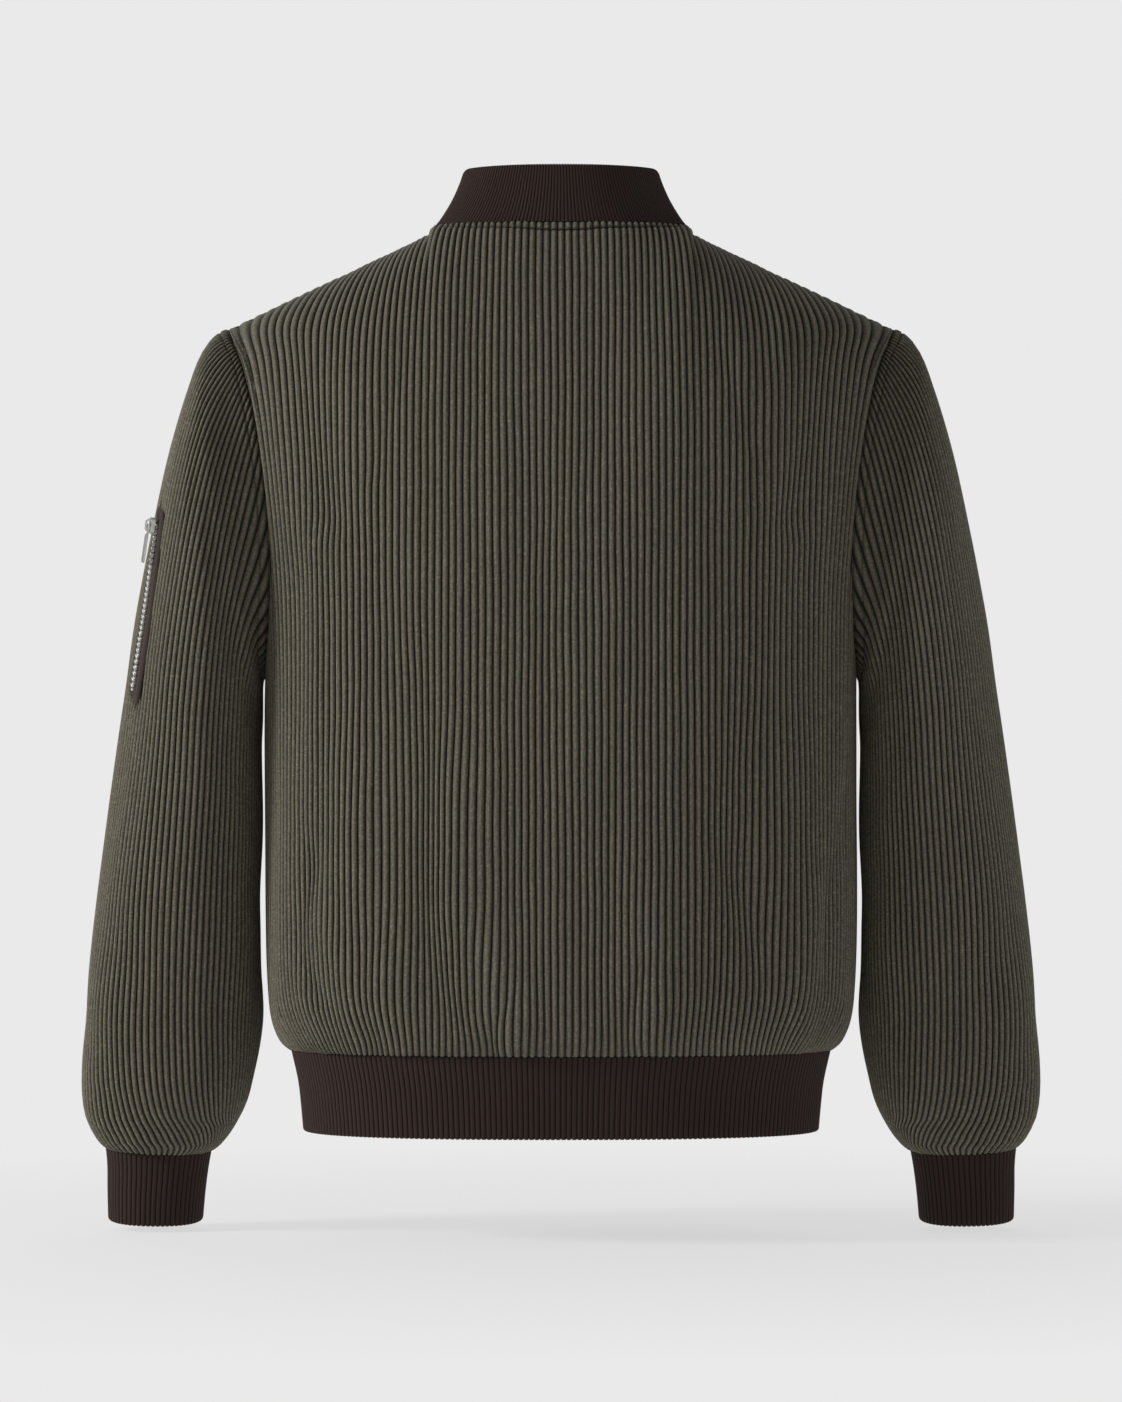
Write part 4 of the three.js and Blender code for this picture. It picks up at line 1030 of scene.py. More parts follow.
@dataclass
class Sleeve:
    """The right sleeve of corduroy, with its two lines of stitching beside the armhole."""

    pocket: bool = False
    rows: int = 66
    wales: int = 88

    SEAM_ROWS = (0, 0.5, 1.1, 1.7, 2.4, 3.6, 5.2, 6.5, 7.2, 7.8, 8.4, 9.2, 10.8, 13.5, 17.5)
    CUFF_ROWS = (0, 0.5, 1.3, 2.4, 4.0, 6.5, 9.5, 13, 17)
    STITCH_LINES = (1.7, 7.8)
    STITCH_PINCH = 0.45
    PRESSED = 1.25
    RINGS, STEPS, MEASURED_FROM = 120, 600, 48
    SQUEEZE, MOST_SQUEEZE = 0.8, 3.0
    LEAST_SLANT = 0.25
    WELT_MARGIN, WELT_ENDS = 1.6, 0.06

    def across(self, ring: Array, rail: Array) -> Array:
        """Distance across the wales along half rings: their steps less what runs with the grain.

        Args:
            ring: rings and points on them, from the outer line.
            rail: the outer line, whose direction at a point's level is the grain's.

        Returns:
            The distances.
        """
        ways = unit(np.gradient(rail, axis=0))
        step, level = np.diff(ring, axis=1), -(ring[:, 1:, 2] + ring[:, :-1, 2]) / 2
        grain = unit(np.stack([np.interp(level, -rail[:, 2], w) for w in ways.T], -1))
        aside = np.linalg.norm(step - (step * grain).sum(-1, keepdims=True) * grain, axis=-1)
        return np.concatenate([np.zeros((len(ring), 1)), np.cumsum(aside, axis=1)], 1)

    def bearing(self, ring: Array, rail: Array) -> Array:
        """Where points lie round half rings seen along the grain, from 0 at the outer line to pi."""
        inward, back = (
            np.interp(-ring[..., 2], -rail[:, 2], rail[:, k]) - ring[..., k] for k in (0, 1)
        )
        inward = inward / inward[:, -1:]
        back = np.abs(back - back[:, -1:] * inward)
        found = np.arctan2(back / back.max(1, keepdims=True), 1 - 2 * inward)
        return np.maximum.accumulate(found, axis=1)

    def angles(self) -> tuple[Array, Array, Array]:
        """How the wales run: beside the outer line at their true pitch, squeezed under the arm.

        On each lower ring the distance across the wales is measured from the outer line both
        ways. A place d of the half width h then lies at d + (the ring's half width - h) (d / h)
        to a power. Above the first of these rings, each wale keeps its bearing along the grain.

        Returns:
            Angles on rings and columns, places across the wales, and how steeply each column
            leaves the armhole, as the sine of that angle.
        """
        half, first = self.wales * WALE_PITCH / 2, self.MEASURED_FROM
        place = (np.arange(self.wales)[:, None] + WALE_STEPS).ravel() * WALE_PITCH
        along = np.linspace(0, 1, self.RINGS)
        middle = -SLEEVE.at("turn", along * SLEEVE.last) * DEGREE
        rail = SLEEVE_FORM.surface(middle, along, False)
        turned = np.linspace(0, math.pi, self.STEPS)
        found = np.empty((self.RINGS, len(place)))
        for way, chosen in ((1, place <= half), (-1, place > half)):
            angle = middle[:, None] + way * turned
            ring = SLEEVE_FORM.surface(angle, along[:, None], False)
            far = self.across(ring, rail)
            ratio = far[:, -1:] / half
            bend = self.SQUEEZE / np.maximum(np.abs(1 - ratio), 0.01)
            d = place[chosen] if way > 0 else 2 * half - place[chosen]
            wanted = d + half * (ratio - 1) * (d / half) ** np.clip(bend, 1, self.MOST_SQUEEZE)
            bearing = self.bearing(ring[: first + 1], rail)
            kept = np.interp(wanted[first], far[first], bearing[first])
            upper = [np.interp(kept, b, a) for b, a in zip(bearing[:first], angle)]
            lower = [np.interp(w, f, a) for w, f, a in zip(wanted, far, angle)][first:]
            found[:, chosen] = np.array(upper + lower)
        seam, later = (SLEEVE_FORM.surface(found[k], along[k], False) for k in (0, 3))
        beside = unit(np.roll(seam, -1, 0) - np.roll(seam, 1, 0))
        slant = np.linalg.norm(np.cross(unit(later - seam), beside), axis=-1)
        return found, place, np.maximum(slant, self.LEAST_SLANT)

    def under_welt(self, angle: Array, ring: Array) -> Array:
        """How far inside the pocket's welt places lie: 1 well inside, 0 at its edge, below outside."""
        turned = (angle - POCKET_TURN + math.pi) % (2 * math.pi) - math.pi
        beside = (POCKET_HALF - np.abs(turned) * pocket_speed()) / self.WELT_MARGIN
        ends = np.minimum(ring - POCKET_TOP, POCKET_FOOT - ring) / self.WELT_ENDS
        return np.clip(np.minimum(beside, ends), -1, 1)

    def skin(self) -> Skin:
        """The sleeve: its columns cut into rows by length, then raised into wales."""
        table, places, slant = self.angles()
        columns = np.arange(len(places))[None, :]

        def angle_at(along: Array) -> Array:
            """The columns' angles, between the two nearest measured rings."""
            ring = np.clip(along, 0, 1) * (self.RINGS - 1)
            below = np.minimum(ring.astype(int), self.RINGS - 2)
            return mix(table[below, columns], table[below + 1, columns], ring - below)

        dense = np.linspace(0, 1, 420)[:, None] + 0.0 * columns
        along, head, foot = even_rows(
            dense[:, 0],
            SLEEVE_FORM.surface(angle_at(dense), dense),
            self.SEAM_ROWS,
            self.CUFF_ROWS,
            self.rows,
            1 / slant,
        )
        head = head * slant
        stitch = self.STITCH_PINCH * sum(bell((head - line) / 0.7) for line in self.STITCH_LINES)
        place = np.broadcast_to(places, along.shape)
        plain = SLEEVE_FORM.surface(angle_at(along), along)
        if self.pocket:
            under = self.under_welt(angle_at(along), along * SLEEVE.last)
            smooth = SLEEVE_FORM.surface(angle_at(along), along, False)
            plain = mix(plain, smooth, soften(under / 2 + 0.5)[..., None])
            # Pressed flat under the welt: the relief drops to nought there, and the material paints that
            # cloth with the valley's shade
            stitch = stitch + soften(under) * self.PRESSED
        return Corduroy().skin(plain, place, head, foot, stitch, True)


@dataclass
class KnitBand:
    """A band of rib knit folded double: outer face, round fold and inner face, all ribbed."""

    surface: Callable[[Array, Array], Array]
    thick: float
    ribs: int
    closed: bool
    start: float
    end: float
    fold_at: float
    high: float
    height: float = 0.85
    rows: int = 9
    fold_rows: int = 5

    RIB_STEPS = np.array([0.0, 0.16, 0.36, 0.64, 0.84])

    def skin(self) -> Skin:
        """The band: a loop round its middle surface, with ribs raised all the way round.

        Returns:
            The skin.
        """
        place = (np.arange(self.ribs)[:, None] + self.RIB_STEPS).ravel()
        place = place if self.closed else np.append(place, self.ribs)
        share = self.start + (self.end - self.start) * self.even(place / self.ribs)
        trim = self.thick / 2 / self.high
        seam_end = 1 - self.fold_at
        levels = mix(seam_end, self.fold_at + (trim if self.fold_at == 0 else -trim),
                     np.linspace(0, 1, self.rows))
        across, up = np.meshgrid(share, levels)
        face = self.surface(across, up)
        away = normals(face, self.closed)
        tip = unit(np.gradient(face, axis=0))
        middle = face - away * self.thick / 2
        turns = np.linspace(0, math.pi, self.fold_rows + 2)[1:-1]
        half = self.thick / 2
        loop = [(middle[k], away[k]) for k in range(self.rows)]
        loop += [(middle[-1], away[-1] * math.cos(t) + tip[-1] * math.sin(t)) for t in turns]
        loop += [(middle[k], -away[k]) for k in range(self.rows - 1, -1, -1)]
        # The relief also sets the colour: the knit material paints shade where it is low, between the
        # ribs
        relief = np.clip(1 - np.abs(2 * (place % 1.0) - 1) ** 2.4, 0, 1) ** 0.6
        out = half - self.height * (1 - relief)
        points = np.stack([base + way * out[:, None] for base, way in loop])
        numbers = np.arange(points.shape[0] * points.shape[1]).reshape(points.shape[:2])
        if self.closed:
            numbers = np.concatenate([numbers, numbers[:, :1]], 1)
        numbers = np.concatenate([numbers, numbers[:1]])
        faces = [lattice(numbers)]
        if not self.closed:
            first, second = numbers[:-1, 0], numbers[:-1, -1]
            middle_row = len(first) // 2
            for edge, turn in ((first, 1), (second, -1)):
                one, other = edge[: middle_row + 1], edge[middle_row:][::-1]
                faces.append(strip(one, other[: len(one)])[:, ::turn])
        far = np.cumsum(np.linalg.norm(np.diff(points[:, 0], axis=0, prepend=points[:1, 0]), axis=1))
        cloth = point(np.broadcast_to(place, points.shape[:2]), far[:, None], 0.0)
        reliefs = np.broadcast_to(relief, points.shape[:2])
        return Skin(
            points.reshape(-1, 3),
            np.concatenate(faces),
            reliefs.ravel(),
            cloth.reshape(-1, 3),
            flat_size(face, self.closed),
        ).outward()

    def even(self, share: Array) -> Array:
        """Shares of the band's parameter at which its seam edge is cut into equal lengths."""
        dense = np.linspace(0, 1, 3000)
        edge = self.surface(self.start + (self.end - self.start) * dense, np.full(3000, 0.5))
        far = np.concatenate([[0.0], np.cumsum(np.linalg.norm(np.diff(edge, axis=0), axis=1))])
        return np.interp(share * far[-1], far, dense)


@dataclass
class ZipChain:
    """A closed chain: teeth from both sides in turn, each a block with a chamfered top."""

    spot: Callable[[Array, Array, Array], Array]
    start: float
    end: float
    half: float
    low: float
    high: float
    pitch: float = 2.1

    # A tooth seen from above, in half widths across and pitches along, from its own side
    OUTLINE = np.array([
        (-1, -0.30), (-0.25, -0.34), (0.02, -0.46), (0.3, -0.30),
        (0.3, 0.30), (0.02, 0.46), (-0.25, 0.34), (-1, 0.30),
    ])
    CHAMFER, TOP_SHARE = 0.3, 0.72

    def skin(self) -> Skin:
        """The teeth, as one skin."""
        ends = self.spot(np.zeros(200), np.linspace(self.start, self.end, 200), np.zeros(200))
        long = np.linalg.norm(np.diff(ends, axis=0), axis=1).sum()
        count = int(long / self.pitch)
        middle = self.OUTLINE.mean(0)
        top = middle + (self.OUTLINE - middle) * self.TOP_SHARE
        shape = np.concatenate([self.OUTLINE, self.OUTLINE, top])
        corners = len(self.OUTLINE)
        lift = np.repeat([self.low, self.high - self.CHAMFER, self.high], corners)
        side = np.where(np.arange(count) % 2 == 0, 1.0, -1.0)[:, None]
        at = mix(self.start, self.end, (np.arange(count) + 0.5) / count)[:, None]
        reach = shape[:, 1] * self.pitch / long * (self.end - self.start)
        points = self.spot(shape[:, 0] * self.half * side, at + reach, lift + 0 * at)
        ring = np.arange(corners)
        levels = np.stack([np.append(ring + k * corners, k * corners) for k in range(3)])
        cap = np.stack([0 * ring[2:], ring[1:-1], ring[2:]], 1)
        faces = np.concatenate([lattice(levels), cap, cap[:, ::-1] + 2 * corners])
        flip = self.turned(points[0], faces)
        found = []
        for k in range(count):
            turned = faces if (side[k, 0] > 0) != flip else faces[:, ::-1]
            found.append(turned + k * 3 * corners)
        return Skin.of(points.reshape(-1, 3), np.concatenate(found))

    def turned(self, points: Array, faces: Array) -> bool:
        """Whether a tooth's faces enclose a volume below nought, and so look inwards."""
        p, q, r = (points[faces[:, k]] - points.mean(0) for k in range(3))
        return bool(np.einsum("ij,ij->", p, np.cross(q, r)) < 0)


@dataclass
class Strip:
    """A narrow strip of cloth along a zip: a grid between two edges, with a round profile."""

    spot: Callable[[Array, Array, Array], Array]
    left: float
    right: float
    low: float
    profile: Table
    corner: float = 0.0
    rows: int = 90
    columns: int = 19

    def skin(self) -> Skin:
        """The closed strip, whose profile gives its height from edge to edge."""
        along = (1 - np.cos(np.linspace(0, math.pi, self.rows))) / 2
        line = self.spot(0 * along, along, 0 * along)
        far = np.concatenate([[0.0], np.cumsum(np.linalg.norm(np.diff(line, axis=0), axis=1))])
        near = np.minimum(np.minimum(far, far[-1] - far), self.corner)
        missing = self.corner - np.sqrt(self.corner**2 - (self.corner - near) ** 2)
        share = np.linspace(0, 1, self.columns)[None, :]
        half = ((self.right - self.left) / 2 - missing)[:, None]
        across = (self.left + self.right) / 2 + (2 * share - 1) * half
        fade = np.sqrt(1 - (1 - near / self.corner) ** 2)[:, None] if self.corner else 1.0
        rise = self.profile.at("rise", share) * fade
        along = along[:, None] + 0 * share
        outer = self.spot(across, along, self.low + rise)
        inner = self.spot(across, along, self.low + 0 * across)[:, ::6]
        cloth = point(across, far[:, None], 0.0)
        found = walled(outer, inner, 0.5 + 0 * across, cloth, False)
        found.flat = flat_size(self.spot(across, along, self.low + 0 * across), False)
        return found


WELT_PROFILE = Table(
    "across rise",
    (0, 0.5), (0.04, 1.7), (0.1, 2.35), (0.22, 2.6), (0.33, 2.3), (0.38, 1.2), (0.5, 1.0),
    (0.62, 1.2), (0.67, 2.3), (0.78, 2.6), (0.9, 2.35), (0.96, 1.7), (1, 0.5),
)
TAPE_PROFILE = Table("across rise", (0, 1.3), (0.18, 1.5), (0.36, 1.1), (1, 1.1))


class Held(Enum):
    """How a sheet of cloth is held."""

    HUNG = "hung"
    GATHERED = "gathered"
    FOLDED = "folded"
    LAID = "laid"


class Value:
    """A shader value whose arithmetic adds Math nodes."""

    def __init__(self, graph: "Graph", socket: bpy.types.NodeSocket) -> None:
        """Keeps the socket and the graph that it belongs to."""
        self.graph, self.socket = graph, socket

    def _math(self, operation: str, *values: "Value | float") -> "Value":
        """One Math node on these values."""
        return self.graph.node("ShaderNodeMath", {"operation": operation}, dict(enumerate(values)))

    def __add__(self, other: "Value | float") -> "Value":
        """Sum."""
        return self._math("ADD", self, other)

    def __sub__(self, other: "Value | float") -> "Value":
        """Difference."""
        return self._math("SUBTRACT", self, other)

    def __rsub__(self, other: float) -> "Value":
        """Difference from a number."""
        return self._math("SUBTRACT", other, self)

    def __mul__(self, other: "Value | float") -> "Value":
        """Product."""
        return self._math("MULTIPLY", self, other)

    def __truediv__(self, other: "Value | float") -> "Value":
        """Quotient."""
        return self._math("DIVIDE", self, other)

    def __pow__(self, other: "Value | float") -> "Value":
        """Power."""
        return self._math("POWER", self, other)

    __radd__ = __add__
    __rmul__ = __mul__

    def sine(self) -> "Value":
        """Sine of an angle in radians."""
        return self._math("SINE", self)

    def absolute(self) -> "Value":
        """The value without its sign."""
        return self._math("ABSOLUTE", self)

    def fraction(self) -> "Value":
        """What is left above the whole number."""
        return self._math("FRACT", self)

    def floor(self) -> "Value":
        """The whole number below."""
        return self._math("FLOOR", self)

    def between(self, low: float, high: float) -> "Value":
        """0 below low, 1 above high and a straight line between them."""
        return self.graph.node(
            "ShaderNodeMapRange",
            {"clamp": True},
            {"Value": self, "From Min": low, "From Max": high},
        )


class Graph:
    """A material's nodes."""

    def __init__(self, name: str) -> None:
        """Makes a material with one shader, ready for its inputs."""
        self.material = bpy.data.materials.new(name)
        self.material.use_nodes = True
        self.tree = self.material.node_tree
        self.shader = self.tree.nodes["Principled BSDF"]

    def node(self, kind: str, settings: dict, inputs: dict, output: int | str = 0) -> Value:
        """Adds a node.

        Args:
            kind: the node's type.
            settings: its settings, which are set first.
            inputs: values or links for its sockets.
            output: which output comes back.

        Returns:
            The output as a value.
        """
        made = self.tree.nodes.new(kind)
        for key, value in settings.items():
            setattr(made, key, value)
        for key, value in inputs.items():
            self.feed(made.inputs[key], value)
        return Value(self, made.outputs[output])

    def feed(self, socket: bpy.types.NodeSocket, value: object) -> None:
        """Links a value to a socket, or sets the socket's own number or colour."""
        if isinstance(value, Value):
            self.tree.links.new(value.socket, socket)
        else:
            socket.default_value = value

    def attribute(self, name: str, output: str) -> Value:
        """One of the mesh's own attributes."""
        settings = {"attribute_type": "GEOMETRY", "attribute_name": name}
        return self.node("ShaderNodeAttribute", settings, {}, output)

    def cloth(self) -> tuple[Value, Value, Value]:
        """Cloth coordinates: the vector, its place across and its place along."""
        vector = self.attribute("cloth", "Vector")
        parts = {0: vector}
        across = self.node("ShaderNodeSeparateXYZ", {}, parts, "X")
        along = self.node("ShaderNodeSeparateXYZ", {}, parts, "Y")
        return vector, across, along

    def place(self) -> Value:
        """Object coordinates, in metres."""
        return self.node("ShaderNodeTexCoord", {}, {}, "Object")

    def noise(self, vector: Value, size: float, detail: float = 2.0, rough: float = 0.5) -> Value:
        """Noise with grains of a size in the vector's own units."""
        inputs = {"Vector": vector, "Scale": 1 / size, "Detail": detail, "Roughness": rough}
        return self.node("ShaderNodeTexNoise", {}, inputs, 0)

    def blend(self, share: "Value | float", first: object, second: object) -> Value:
        """A colour between two colours."""
        made = self.tree.nodes.new("ShaderNodeMix")
        made.data_type = "RGBA"
        for index, value in ((0, share), (6, first), (7, second)):
            self.feed(made.inputs[index], value)
        return Value(self, made.outputs[2])

    def tinted(self, colour: Value, amount: Value) -> Value:
        """A colour times a value, by Vector Math."""
        settings = {"operation": "SCALE"}
        return self.node("ShaderNodeVectorMath", settings, {0: colour, "Scale": amount}, 0)

    def bump(self, height: Value, strength: float, distance: float, under: Value | None = None) -> Value:
        """A bump whose height is in the units of distance, in metres."""
        inputs = {"Height": height, "Strength": strength, "Distance": distance}
        if under is not None:
            inputs["Normal"] = under
        return self.node("ShaderNodeBump", {}, inputs)

    def finish(self, **inputs: object) -> bpy.types.Material:
        """Sets the shader's sockets by name, underscores standing for spaces.

        Args:
            inputs: values or links for the shader's sockets.

        Returns:
            The material.
        """
        for key, value in inputs.items():
            self.feed(self.shader.inputs[key.replace("_", " ")], value)
        return self.material


Colour = tuple[float, float, float, float]


WELT_COLOUR = (0.062, 0.046, 0.040, 1.0)


@dataclass(frozen=True)
class CordFinish:
    """Cut pile of jumbo corduroy: pale crowns, shade painted in the valleys and a speckle of fibre ends.
    """

    crown: Colour = (0.150, 0.135, 0.100, 1)
    # valley is painted shade: the darkness that falls between the wales, laid on as colour
    valley: Colour = (0.010, 0.0095, 0.007, 1)
    tip: Colour = (0.185, 0.168, 0.122, 1)
    grain: float = 0.0015

    def material(self, name: str) -> bpy.types.Material:
        """The material, whose colour follows the wales' relief, with shade painted where the relief is
        low.

        Args:
            name: the material's name.

        Returns:
            The material.
        """
        g = Graph(name)
        relief = g.attribute("relief", "Fac")
        vector, across, _ = g.cloth()
        place = g.place()
        speck = g.noise(place, self.grain, 3.0, 0.7)
        mottle = g.noise(place, 0.011, 3.0)
        cloud = g.noise(place, 0.12, 2.0)
        wale = (across / WALE_PITCH).floor()
        odd = ((wale * 12.9898).sine() * 43758.5453).fraction()
        # Painted shade: low relief (valleys, wale ends at the seams, stitch lines, cloth under the
        # pocket welt) blends towards the dark valley colour
        depth = relief.between(0.1, 1.0)
        base = g.blend(depth ** 1.5, self.valley, self.crown)
        pile = g.blend(speck.between(0.52, 0.72) * relief.between(0.3, 0.9), base, self.tip)
        level = 0.40 + speck.between(0.34, 0.66) * 0.56 + mottle * 0.22 + cloud * 0.16 + odd * 0.08
        colour = g.tinted(pile, level)
        fibre = g.noise(vector, 0.75, 2.0, 0.7)
        fine = g.bump(speck, 0.8, 0.0008)
        coarse = g.bump(fibre, 0.25, 0.0004, fine)
        return g.finish(
            Base_Color=colour,
            Roughness=0.92,
            Normal=coarse,
            Specular_IOR_Level=0.18,
            Sheen_Weight=0.16,
            Sheen_Roughness=0.45,
            Sheen_Tint=(0.75, 0.72, 0.62, 1),
        )


@dataclass(frozen=True)
class KnitFinish:
    """Rib knit: chains of small V stitches down each rib, with shade painted between the ribs."""

    crown: Colour = (0.036, 0.0225, 0.0185, 1)
    # valley is painted shade: the darkness that falls between the ribs
    valley: Colour = (0.006, 0.0038, 0.0032, 1)
    stitch: float = 1.35
    slant: float = 1.1

    def material(self, name: str) -> bpy.types.Material:
        """The material.

        Args:
            name: the material's name.

        Returns:
            The material.
        """
        g = Graph(name)
        relief = g.attribute("relief", "Fac")
        _, across, along = g.cloth()
        place = g.place()
        aside = (across.fraction() - 0.5).absolute()
        loops = ((along / self.stitch + aside * self.slant) * (2 * math.pi)).sine() * 0.5 + 0.5
        fuzz = g.noise(place, 0.0009, 2.0, 0.6)
        cloud = g.noise(place, 0.05, 2.0)
        # Painted shade: low relief between the ribs blends towards the dark valley colour; the loops add
        # the stitch pattern
        shade = relief.between(0.1, 0.85) * (0.72 + loops * 0.28)
        base = g.blend(shade, self.valley, self.crown)
        colour = g.tinted(base, 0.72 + fuzz * 0.4 + cloud * 0.18)
        loop_bump = g.bump(loops, 0.5, 0.00035)
        normal = g.bump(fuzz, 0.35, 0.0004, loop_bump)
        return g.finish(
            Base_Color=colour,
            Roughness=0.93,
            Normal=normal,
            Specular_IOR_Level=0.16,
            Sheen_Weight=0.10,
            Sheen_Roughness=0.5,
            Sheen_Tint=(0.7, 0.6, 0.55, 1),
        )


@dataclass(frozen=True)
class WovenFinish:
    """Plain woven cloth or tape: crossing threads as two waves at right angles."""

    colour: Colour = (0.040, 0.030, 0.026, 1)
    thread: float = 0.0007

    def material(self, name: str) -> bpy.types.Material:
        """The material.

        Args:
            name: the material's name.

        Returns:
            The material.
        """
        g = Graph(name)
        place = g.place()
        parts = {0: place}
        waves = []
        for axis in ("X", "Y", "Z"):
            turn = g.node("ShaderNodeSeparateXYZ", {}, parts, axis) * (2 * math.pi / self.thread)
            waves.append(turn.sine())
        weave = (waves[0] + waves[1]) * waves[2] * 0.25 + 0.5
        fuzz = g.noise(place, 0.0012, 2.0, 0.6)
        cloud = g.noise(place, 0.02, 2.0)
        dark = tuple(c * 0.5 for c in self.colour[:3]) + (1.0,)
        colour = g.tinted(g.blend(weave, dark, self.colour), 0.75 + fuzz * 0.35 + cloud * 0.15)
        normal = g.bump(weave + fuzz * 0.5, 0.4, 0.0003)
        return g.finish(
            Base_Color=colour, Roughness=0.85, Normal=normal, Specular_IOR_Level=0.25
        )


@dataclass(frozen=True)
class MetalFinish:
    """Nickel plate, with faint rubbing and uneven polish."""

    colour: Colour = (0.66, 0.65, 0.62, 1)
    worn: Colour = (0.46, 0.44, 0.40, 1)
    polish: float = 0.24

    def material(self, name: str) -> bpy.types.Material:
        """The material.

        Args:
            name: the material's name.

        Returns:
            The material.
        """
        g = Graph(name)
        place = g.place()
        rub = g.noise(place, 0.0018, 4.0, 0.6)
        cloud = g.noise(place, 0.008, 2.0)
        colour = g.blend(rub.between(0.5, 0.75) * 0.6, self.colour, self.worn)
        rough = self.polish + rub * 0.18 + cloud * 0.12
        normal = g.bump(rub, 0.12, 0.0001)
        return g.finish(Base_Color=colour, Metallic=1.0, Roughness=rough, Normal=normal)


@dataclass(frozen=True)
class Studio:
    """Pale floor, soft lights and a camera level with the middle of the back."""

    camera_back: float = 5.0
    camera_up: float = -0.349
    frame_high: float = 1.0347
    floor_z: float = -0.742
    floor_radius: float = 30.0
    pale: float = 0.822
    ambient: float = 0.22
    glow_near: float = 0.62

    def camera(self) -> None:
        """Makes the camera: its lens shows the frame's height at the jacket's middle."""
        data = bpy.data.cameras.new("camera")
        data.sensor_fit = "VERTICAL"
        data.sensor_width = data.sensor_height = 36
        data.lens = 36 * self.camera_back / self.frame_high
        data.clip_start, data.clip_end = 0.1, 100
        made = bpy.data.objects.new("camera", data)
        made.location = (0, -self.camera_back, self.camera_up)
        made.rotation_euler = (QUARTER, 0, 0)
        bpy.context.scene.collection.objects.link(made)
        bpy.context.scene.camera = made

    def light(self, name: str, place: Sequence[float], size: float, watts: float) -> None:
        """Makes a square area light that faces the jacket.

        Args:
            name: its name.
            place: where it stands.
            size: its side, in metres.
            watts: its power.
        """
        data = bpy.data.lights.new(name, "AREA")
        data.shape, data.size, data.energy = "SQUARE", size, watts
        made = bpy.data.objects.new(name, data)
        made.location = place
        way = np.array([0.0, 0.0, -0.35]) - np.array(place)
        made.rotation_euler = Vector(way).to_track_quat("-Z", "Y").to_euler()
        bpy.context.scene.collection.objects.link(made)

    def floor(self) -> None:
        """A wide round floor that fades into the background's own paleness far out."""
        rings = np.array([0, 0.3, 0.6, 1, 1.6, 2.4, 4, 8, self.floor_radius])[:, None]
        turn = np.linspace(0, 2 * math.pi, 64, endpoint=False)[None, :]
        points = point(rings * np.cos(turn), rings * np.sin(turn), self.floor_z)
        numbers = np.arange(points.shape[0] * points.shape[1]).reshape(points.shape[:2])
        numbers = np.concatenate([numbers, numbers[:, :1]], 1)
        g = Graph("pale_floor")
        far = g.node("ShaderNodeVectorMath", {"operation": "LENGTH"}, {0: g.place()}, "Value")
        grain = g.noise(g.place(), 0.5, 2.0)
        near = g.finish(Base_Color=(self.pale, self.pale, self.pale, 1), Roughness=0.9,
                        Specular_IOR_Level=0.0)
        tree = near.node_tree
        glow = g.node("ShaderNodeEmission", {}, {"Color": (self.pale, self.pale, self.pale, 1)})
        both = g.node("ShaderNodeMixShader", {}, {
            0: (far + grain * 0.1).between(0.5, 1.3) * (1 - self.glow_near) + self.glow_near,
            1: Value(g, g.shader.outputs[0]),
            2: glow,
        })
        tree.links.new(both.socket, tree.nodes["Material Output"].inputs["Surface"])
        skin = Skin.of(points.reshape(-1, 3) / MM, lattice(numbers)[:, ::-1])
        made = skin.piece("floor", near)

    def world(self) -> None:
        """An even pale surround."""
        world = bpy.data.worlds.new("surround")
        world.use_nodes = True
        tree = world.node_tree
        seen, lit = tree.nodes["Background"], tree.nodes.new("ShaderNodeBackground")
        seen.inputs["Color"].default_value = (self.pale, self.pale, self.pale, 1)
        lit.inputs["Color"].default_value = (self.ambient, self.ambient, self.ambient, 1)
        path, both = tree.nodes.new("ShaderNodeLightPath"), tree.nodes.new("ShaderNodeMixShader")
        tree.links.new(path.outputs["Is Camera Ray"], both.inputs[0])
        tree.links.new(lit.outputs[0], both.inputs[1])
        tree.links.new(seen.outputs[0], both.inputs[2])
        tree.links.new(both.outputs[0], tree.nodes["World Output"].inputs["Surface"])
        bpy.context.scene.world = world

    def build(self) -> None:
        """Makes the whole studio."""
        self.camera()
        self.world()
        self.floor()
        self.light("key", (-3.9, -1.3, 1.3), 1.1, 150)
        self.light("fill", (2.4, -3.4, 0.7), 2.6, 12)
        self.light("rear", (-0.6, 3.2, 1.8), 2.4, 40)
        bpy.context.scene.view_settings.view_transform = "Standard"


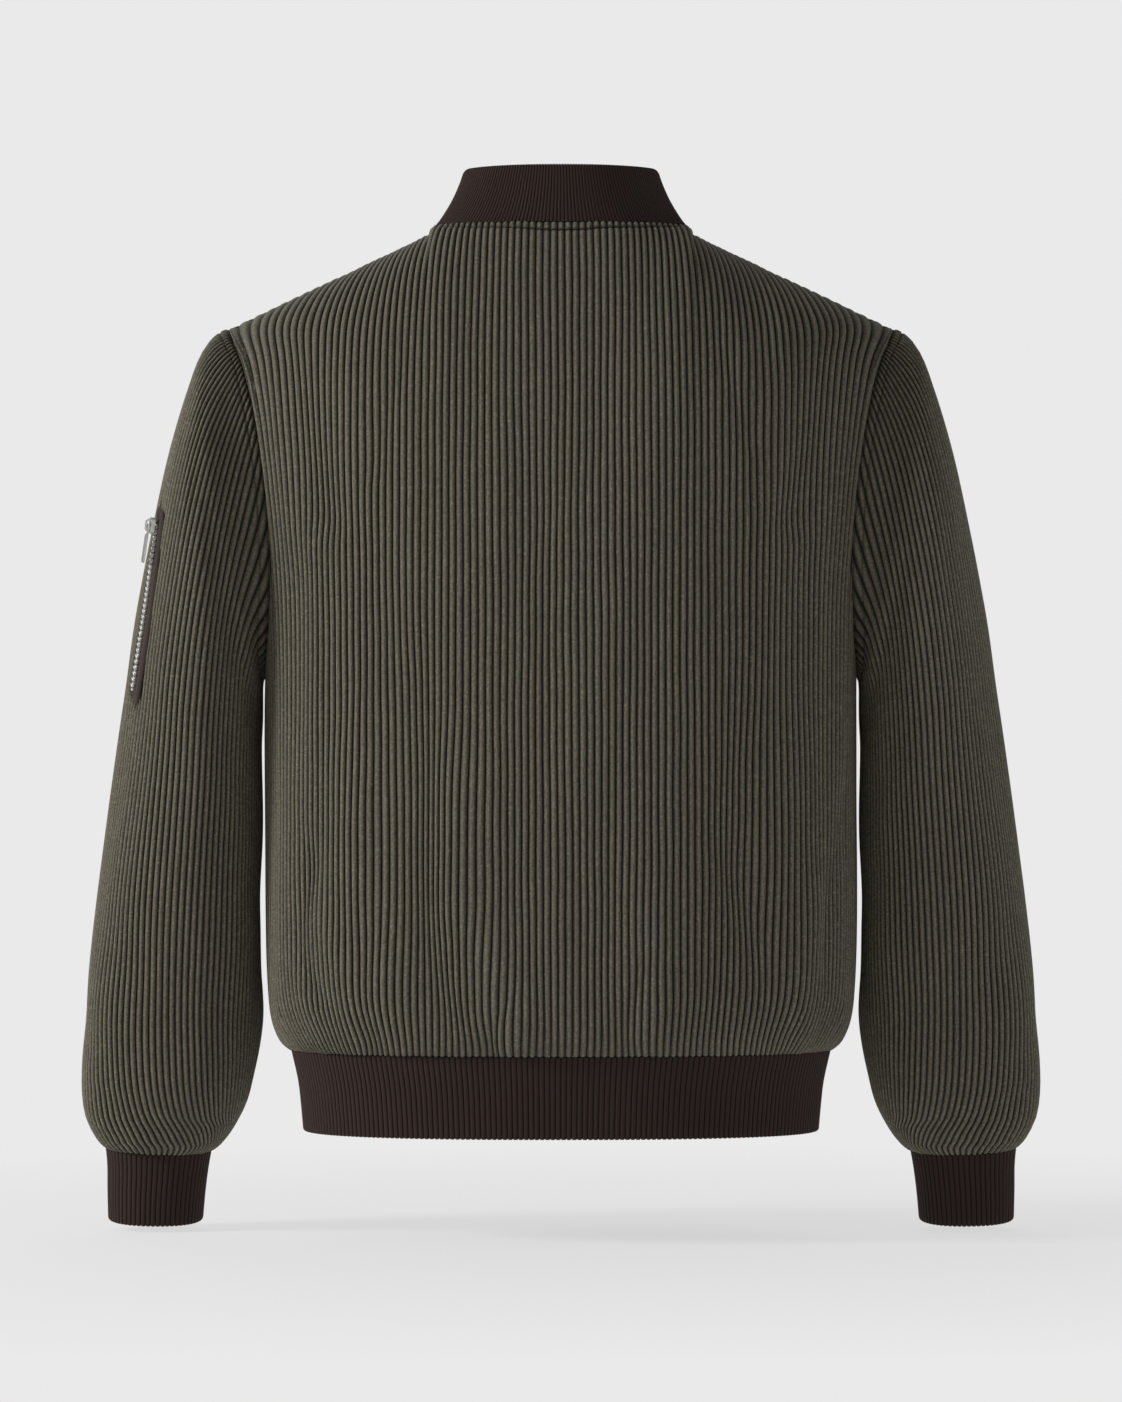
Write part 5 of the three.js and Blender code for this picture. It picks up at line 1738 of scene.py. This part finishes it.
@dataclass
class Jacket:
    """All the jacket's pieces, and the materials that they share."""

    def finishes(self) -> None:
        """Makes the materials."""
        self.cord = CordFinish().material("corduroy")
        self.knit = KnitFinish().material("rib_knit")
        self.weave = WovenFinish().material("woven_tape")
        self.welt = WovenFinish(WELT_COLOUR, 0.0005).material("pocket_twill")
        self.metal = MetalFinish().material("nickel")

    def put(self, skin: Skin, name: str, material: bpy.types.Material,
            nodes: Sequence[str], held: Held | None = None,
            ) -> bpy.types.Object:
        """Makes a piece that rides on the garment and stands for its nodes.

        Args:
            skin: its surface.
            name: its name.
            material: its finish.
            nodes: the solids that it stands for.
            held: how it is held, if it is a sheet of cloth; it only leads to reading the skin's flat
                size, which is then not used.

        Returns:
            The piece.
        """
        made = skin.piece(name, material)
        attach(made, "garment")
        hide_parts(*nodes)
        if held:
            wide, long, area = skin.flat
        return made

    def corduroy(self) -> None:
        """The back, the fronts and the sleeves."""
        side, front = BODY_FORM.back_arc, BODY_FORM.total
        gap = 0.15
        edge = front - BODY_FORM.edge_arc
        for name, start, end in (
            ("back", -side + gap, side - gap),
            ("front_left", -edge, -side - gap),
            ("front_right", side + gap, edge),
        ):
            skin = BodyPanel(name, start, end).skin()
            self.put(skin, f"{name}_cloth", self.cord, [name], Held.HUNG)
        sleeves = ("right", Sleeve().skin()), ("left", Sleeve(pocket=True).skin().mirrored())
        for side, skin in sleeves:
            name = f"sleeve_{side}"
            self.put(skin, f"{name}_cloth", self.cord, [name], Held.GATHERED)

    def knits(self) -> None:
        """The collar, the waistband and the cuffs."""
        collar = KnitBand(collar_surface, COLLAR_THICK, 196, False, -1, 1, 1, COLLAR_HEIGHT)
        self.put(collar.skin(), "collar_knit", self.knit, ["collar"], Held.FOLDED)
        hem = KnitBand(hem_surface, RIB_THICK, 268, False, -1, 1, 0, HEM_SEAM_Z - HEM_BOTTOM_Z)
        self.put(hem.skin(), "hem_knit", self.knit, ["hem_rib"], Held.FOLDED)
        cuff = KnitBand(cuff_surface, RIB_THICK, 62, True, 0, 1, 0, CUFF_HEIGHT).skin()
        for side, skin in (("right", cuff), ("left", cuff.mirrored())):
            name = f"cuff_{side}"
            self.put(skin, f"{name}_knit", self.knit, [name], Held.FOLDED)

    def zips(self) -> None:
        """The pocket's welt, both chains of teeth and the front zip's tapes."""
        welt = Strip(pocket_spot, -POCKET_HALF, POCKET_HALF, POCKET_LIFT, WELT_PROFILE, POCKET_CORNER)
        self.put(welt.skin(), "pocket_welt_cloth", self.welt, ["pocket_welt"],
                 Held.LAID)
        chain = ZipChain(pocket_spot, POCKET_CHAIN_FROM, POCKET_CHAIN_TO, POCKET_CHAIN_HALF,
                         POCKET_CHAIN_LOW, POCKET_CHAIN_HIGH)
        self.put(chain.skin(), "pocket_teeth", self.metal, ["pocket_chain"])
        chain = ZipChain(front_spot, ZIP_CHAIN_FROM, ZIP_CHAIN_TO, ZIP_CHAIN_HALF,
                         ZIP_CHAIN_PROUD - 2.4, ZIP_CHAIN_PROUD)
        self.put(chain.skin(), "front_teeth", self.metal, ["front_zip_chain"])
        for side, way in (("right", 1), ("left", -1)):
            tape = Strip(lambda across, along, lift, way=way: front_spot(across * way, along, lift),
                         ZIP_CHAIN_HALF - 1.6, FRONT_EDGE - 0.3, -ZIP_TAPE_DEEP - 1.1, TAPE_PROFILE,
                         rows=160, columns=9)
            self.put(tape.skin(), f"front_tape_{side}", self.weave,
                     [f"front_zip_tape_{side}"])

    def hardware(self, nodes: dict) -> None:
        """Finishes the nodes that are shown as they are."""
        for node in nodes.values():
            if node.hide_render:
                continue
            node.data.materials.clear()
            node.data.materials.append(self.metal)
            node.modifiers.new("joined", "WELD").merge_threshold = 0.00001
            round_edges = node.modifiers.new("rounded", "BEVEL")
            round_edges.width, round_edges.segments = 0.00018, 2


def main() -> None:
    """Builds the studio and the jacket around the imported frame."""
    logging.basicConfig(level=logging.INFO, format="%(message)s")
    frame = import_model()
    Studio().build()
    jacket = Jacket()
    jacket.finishes()
    jacket.corduroy()
    jacket.knits()
    jacket.zips()
    jacket.hardware(frame["nodes"])


if __name__ == "__main__":
    main()
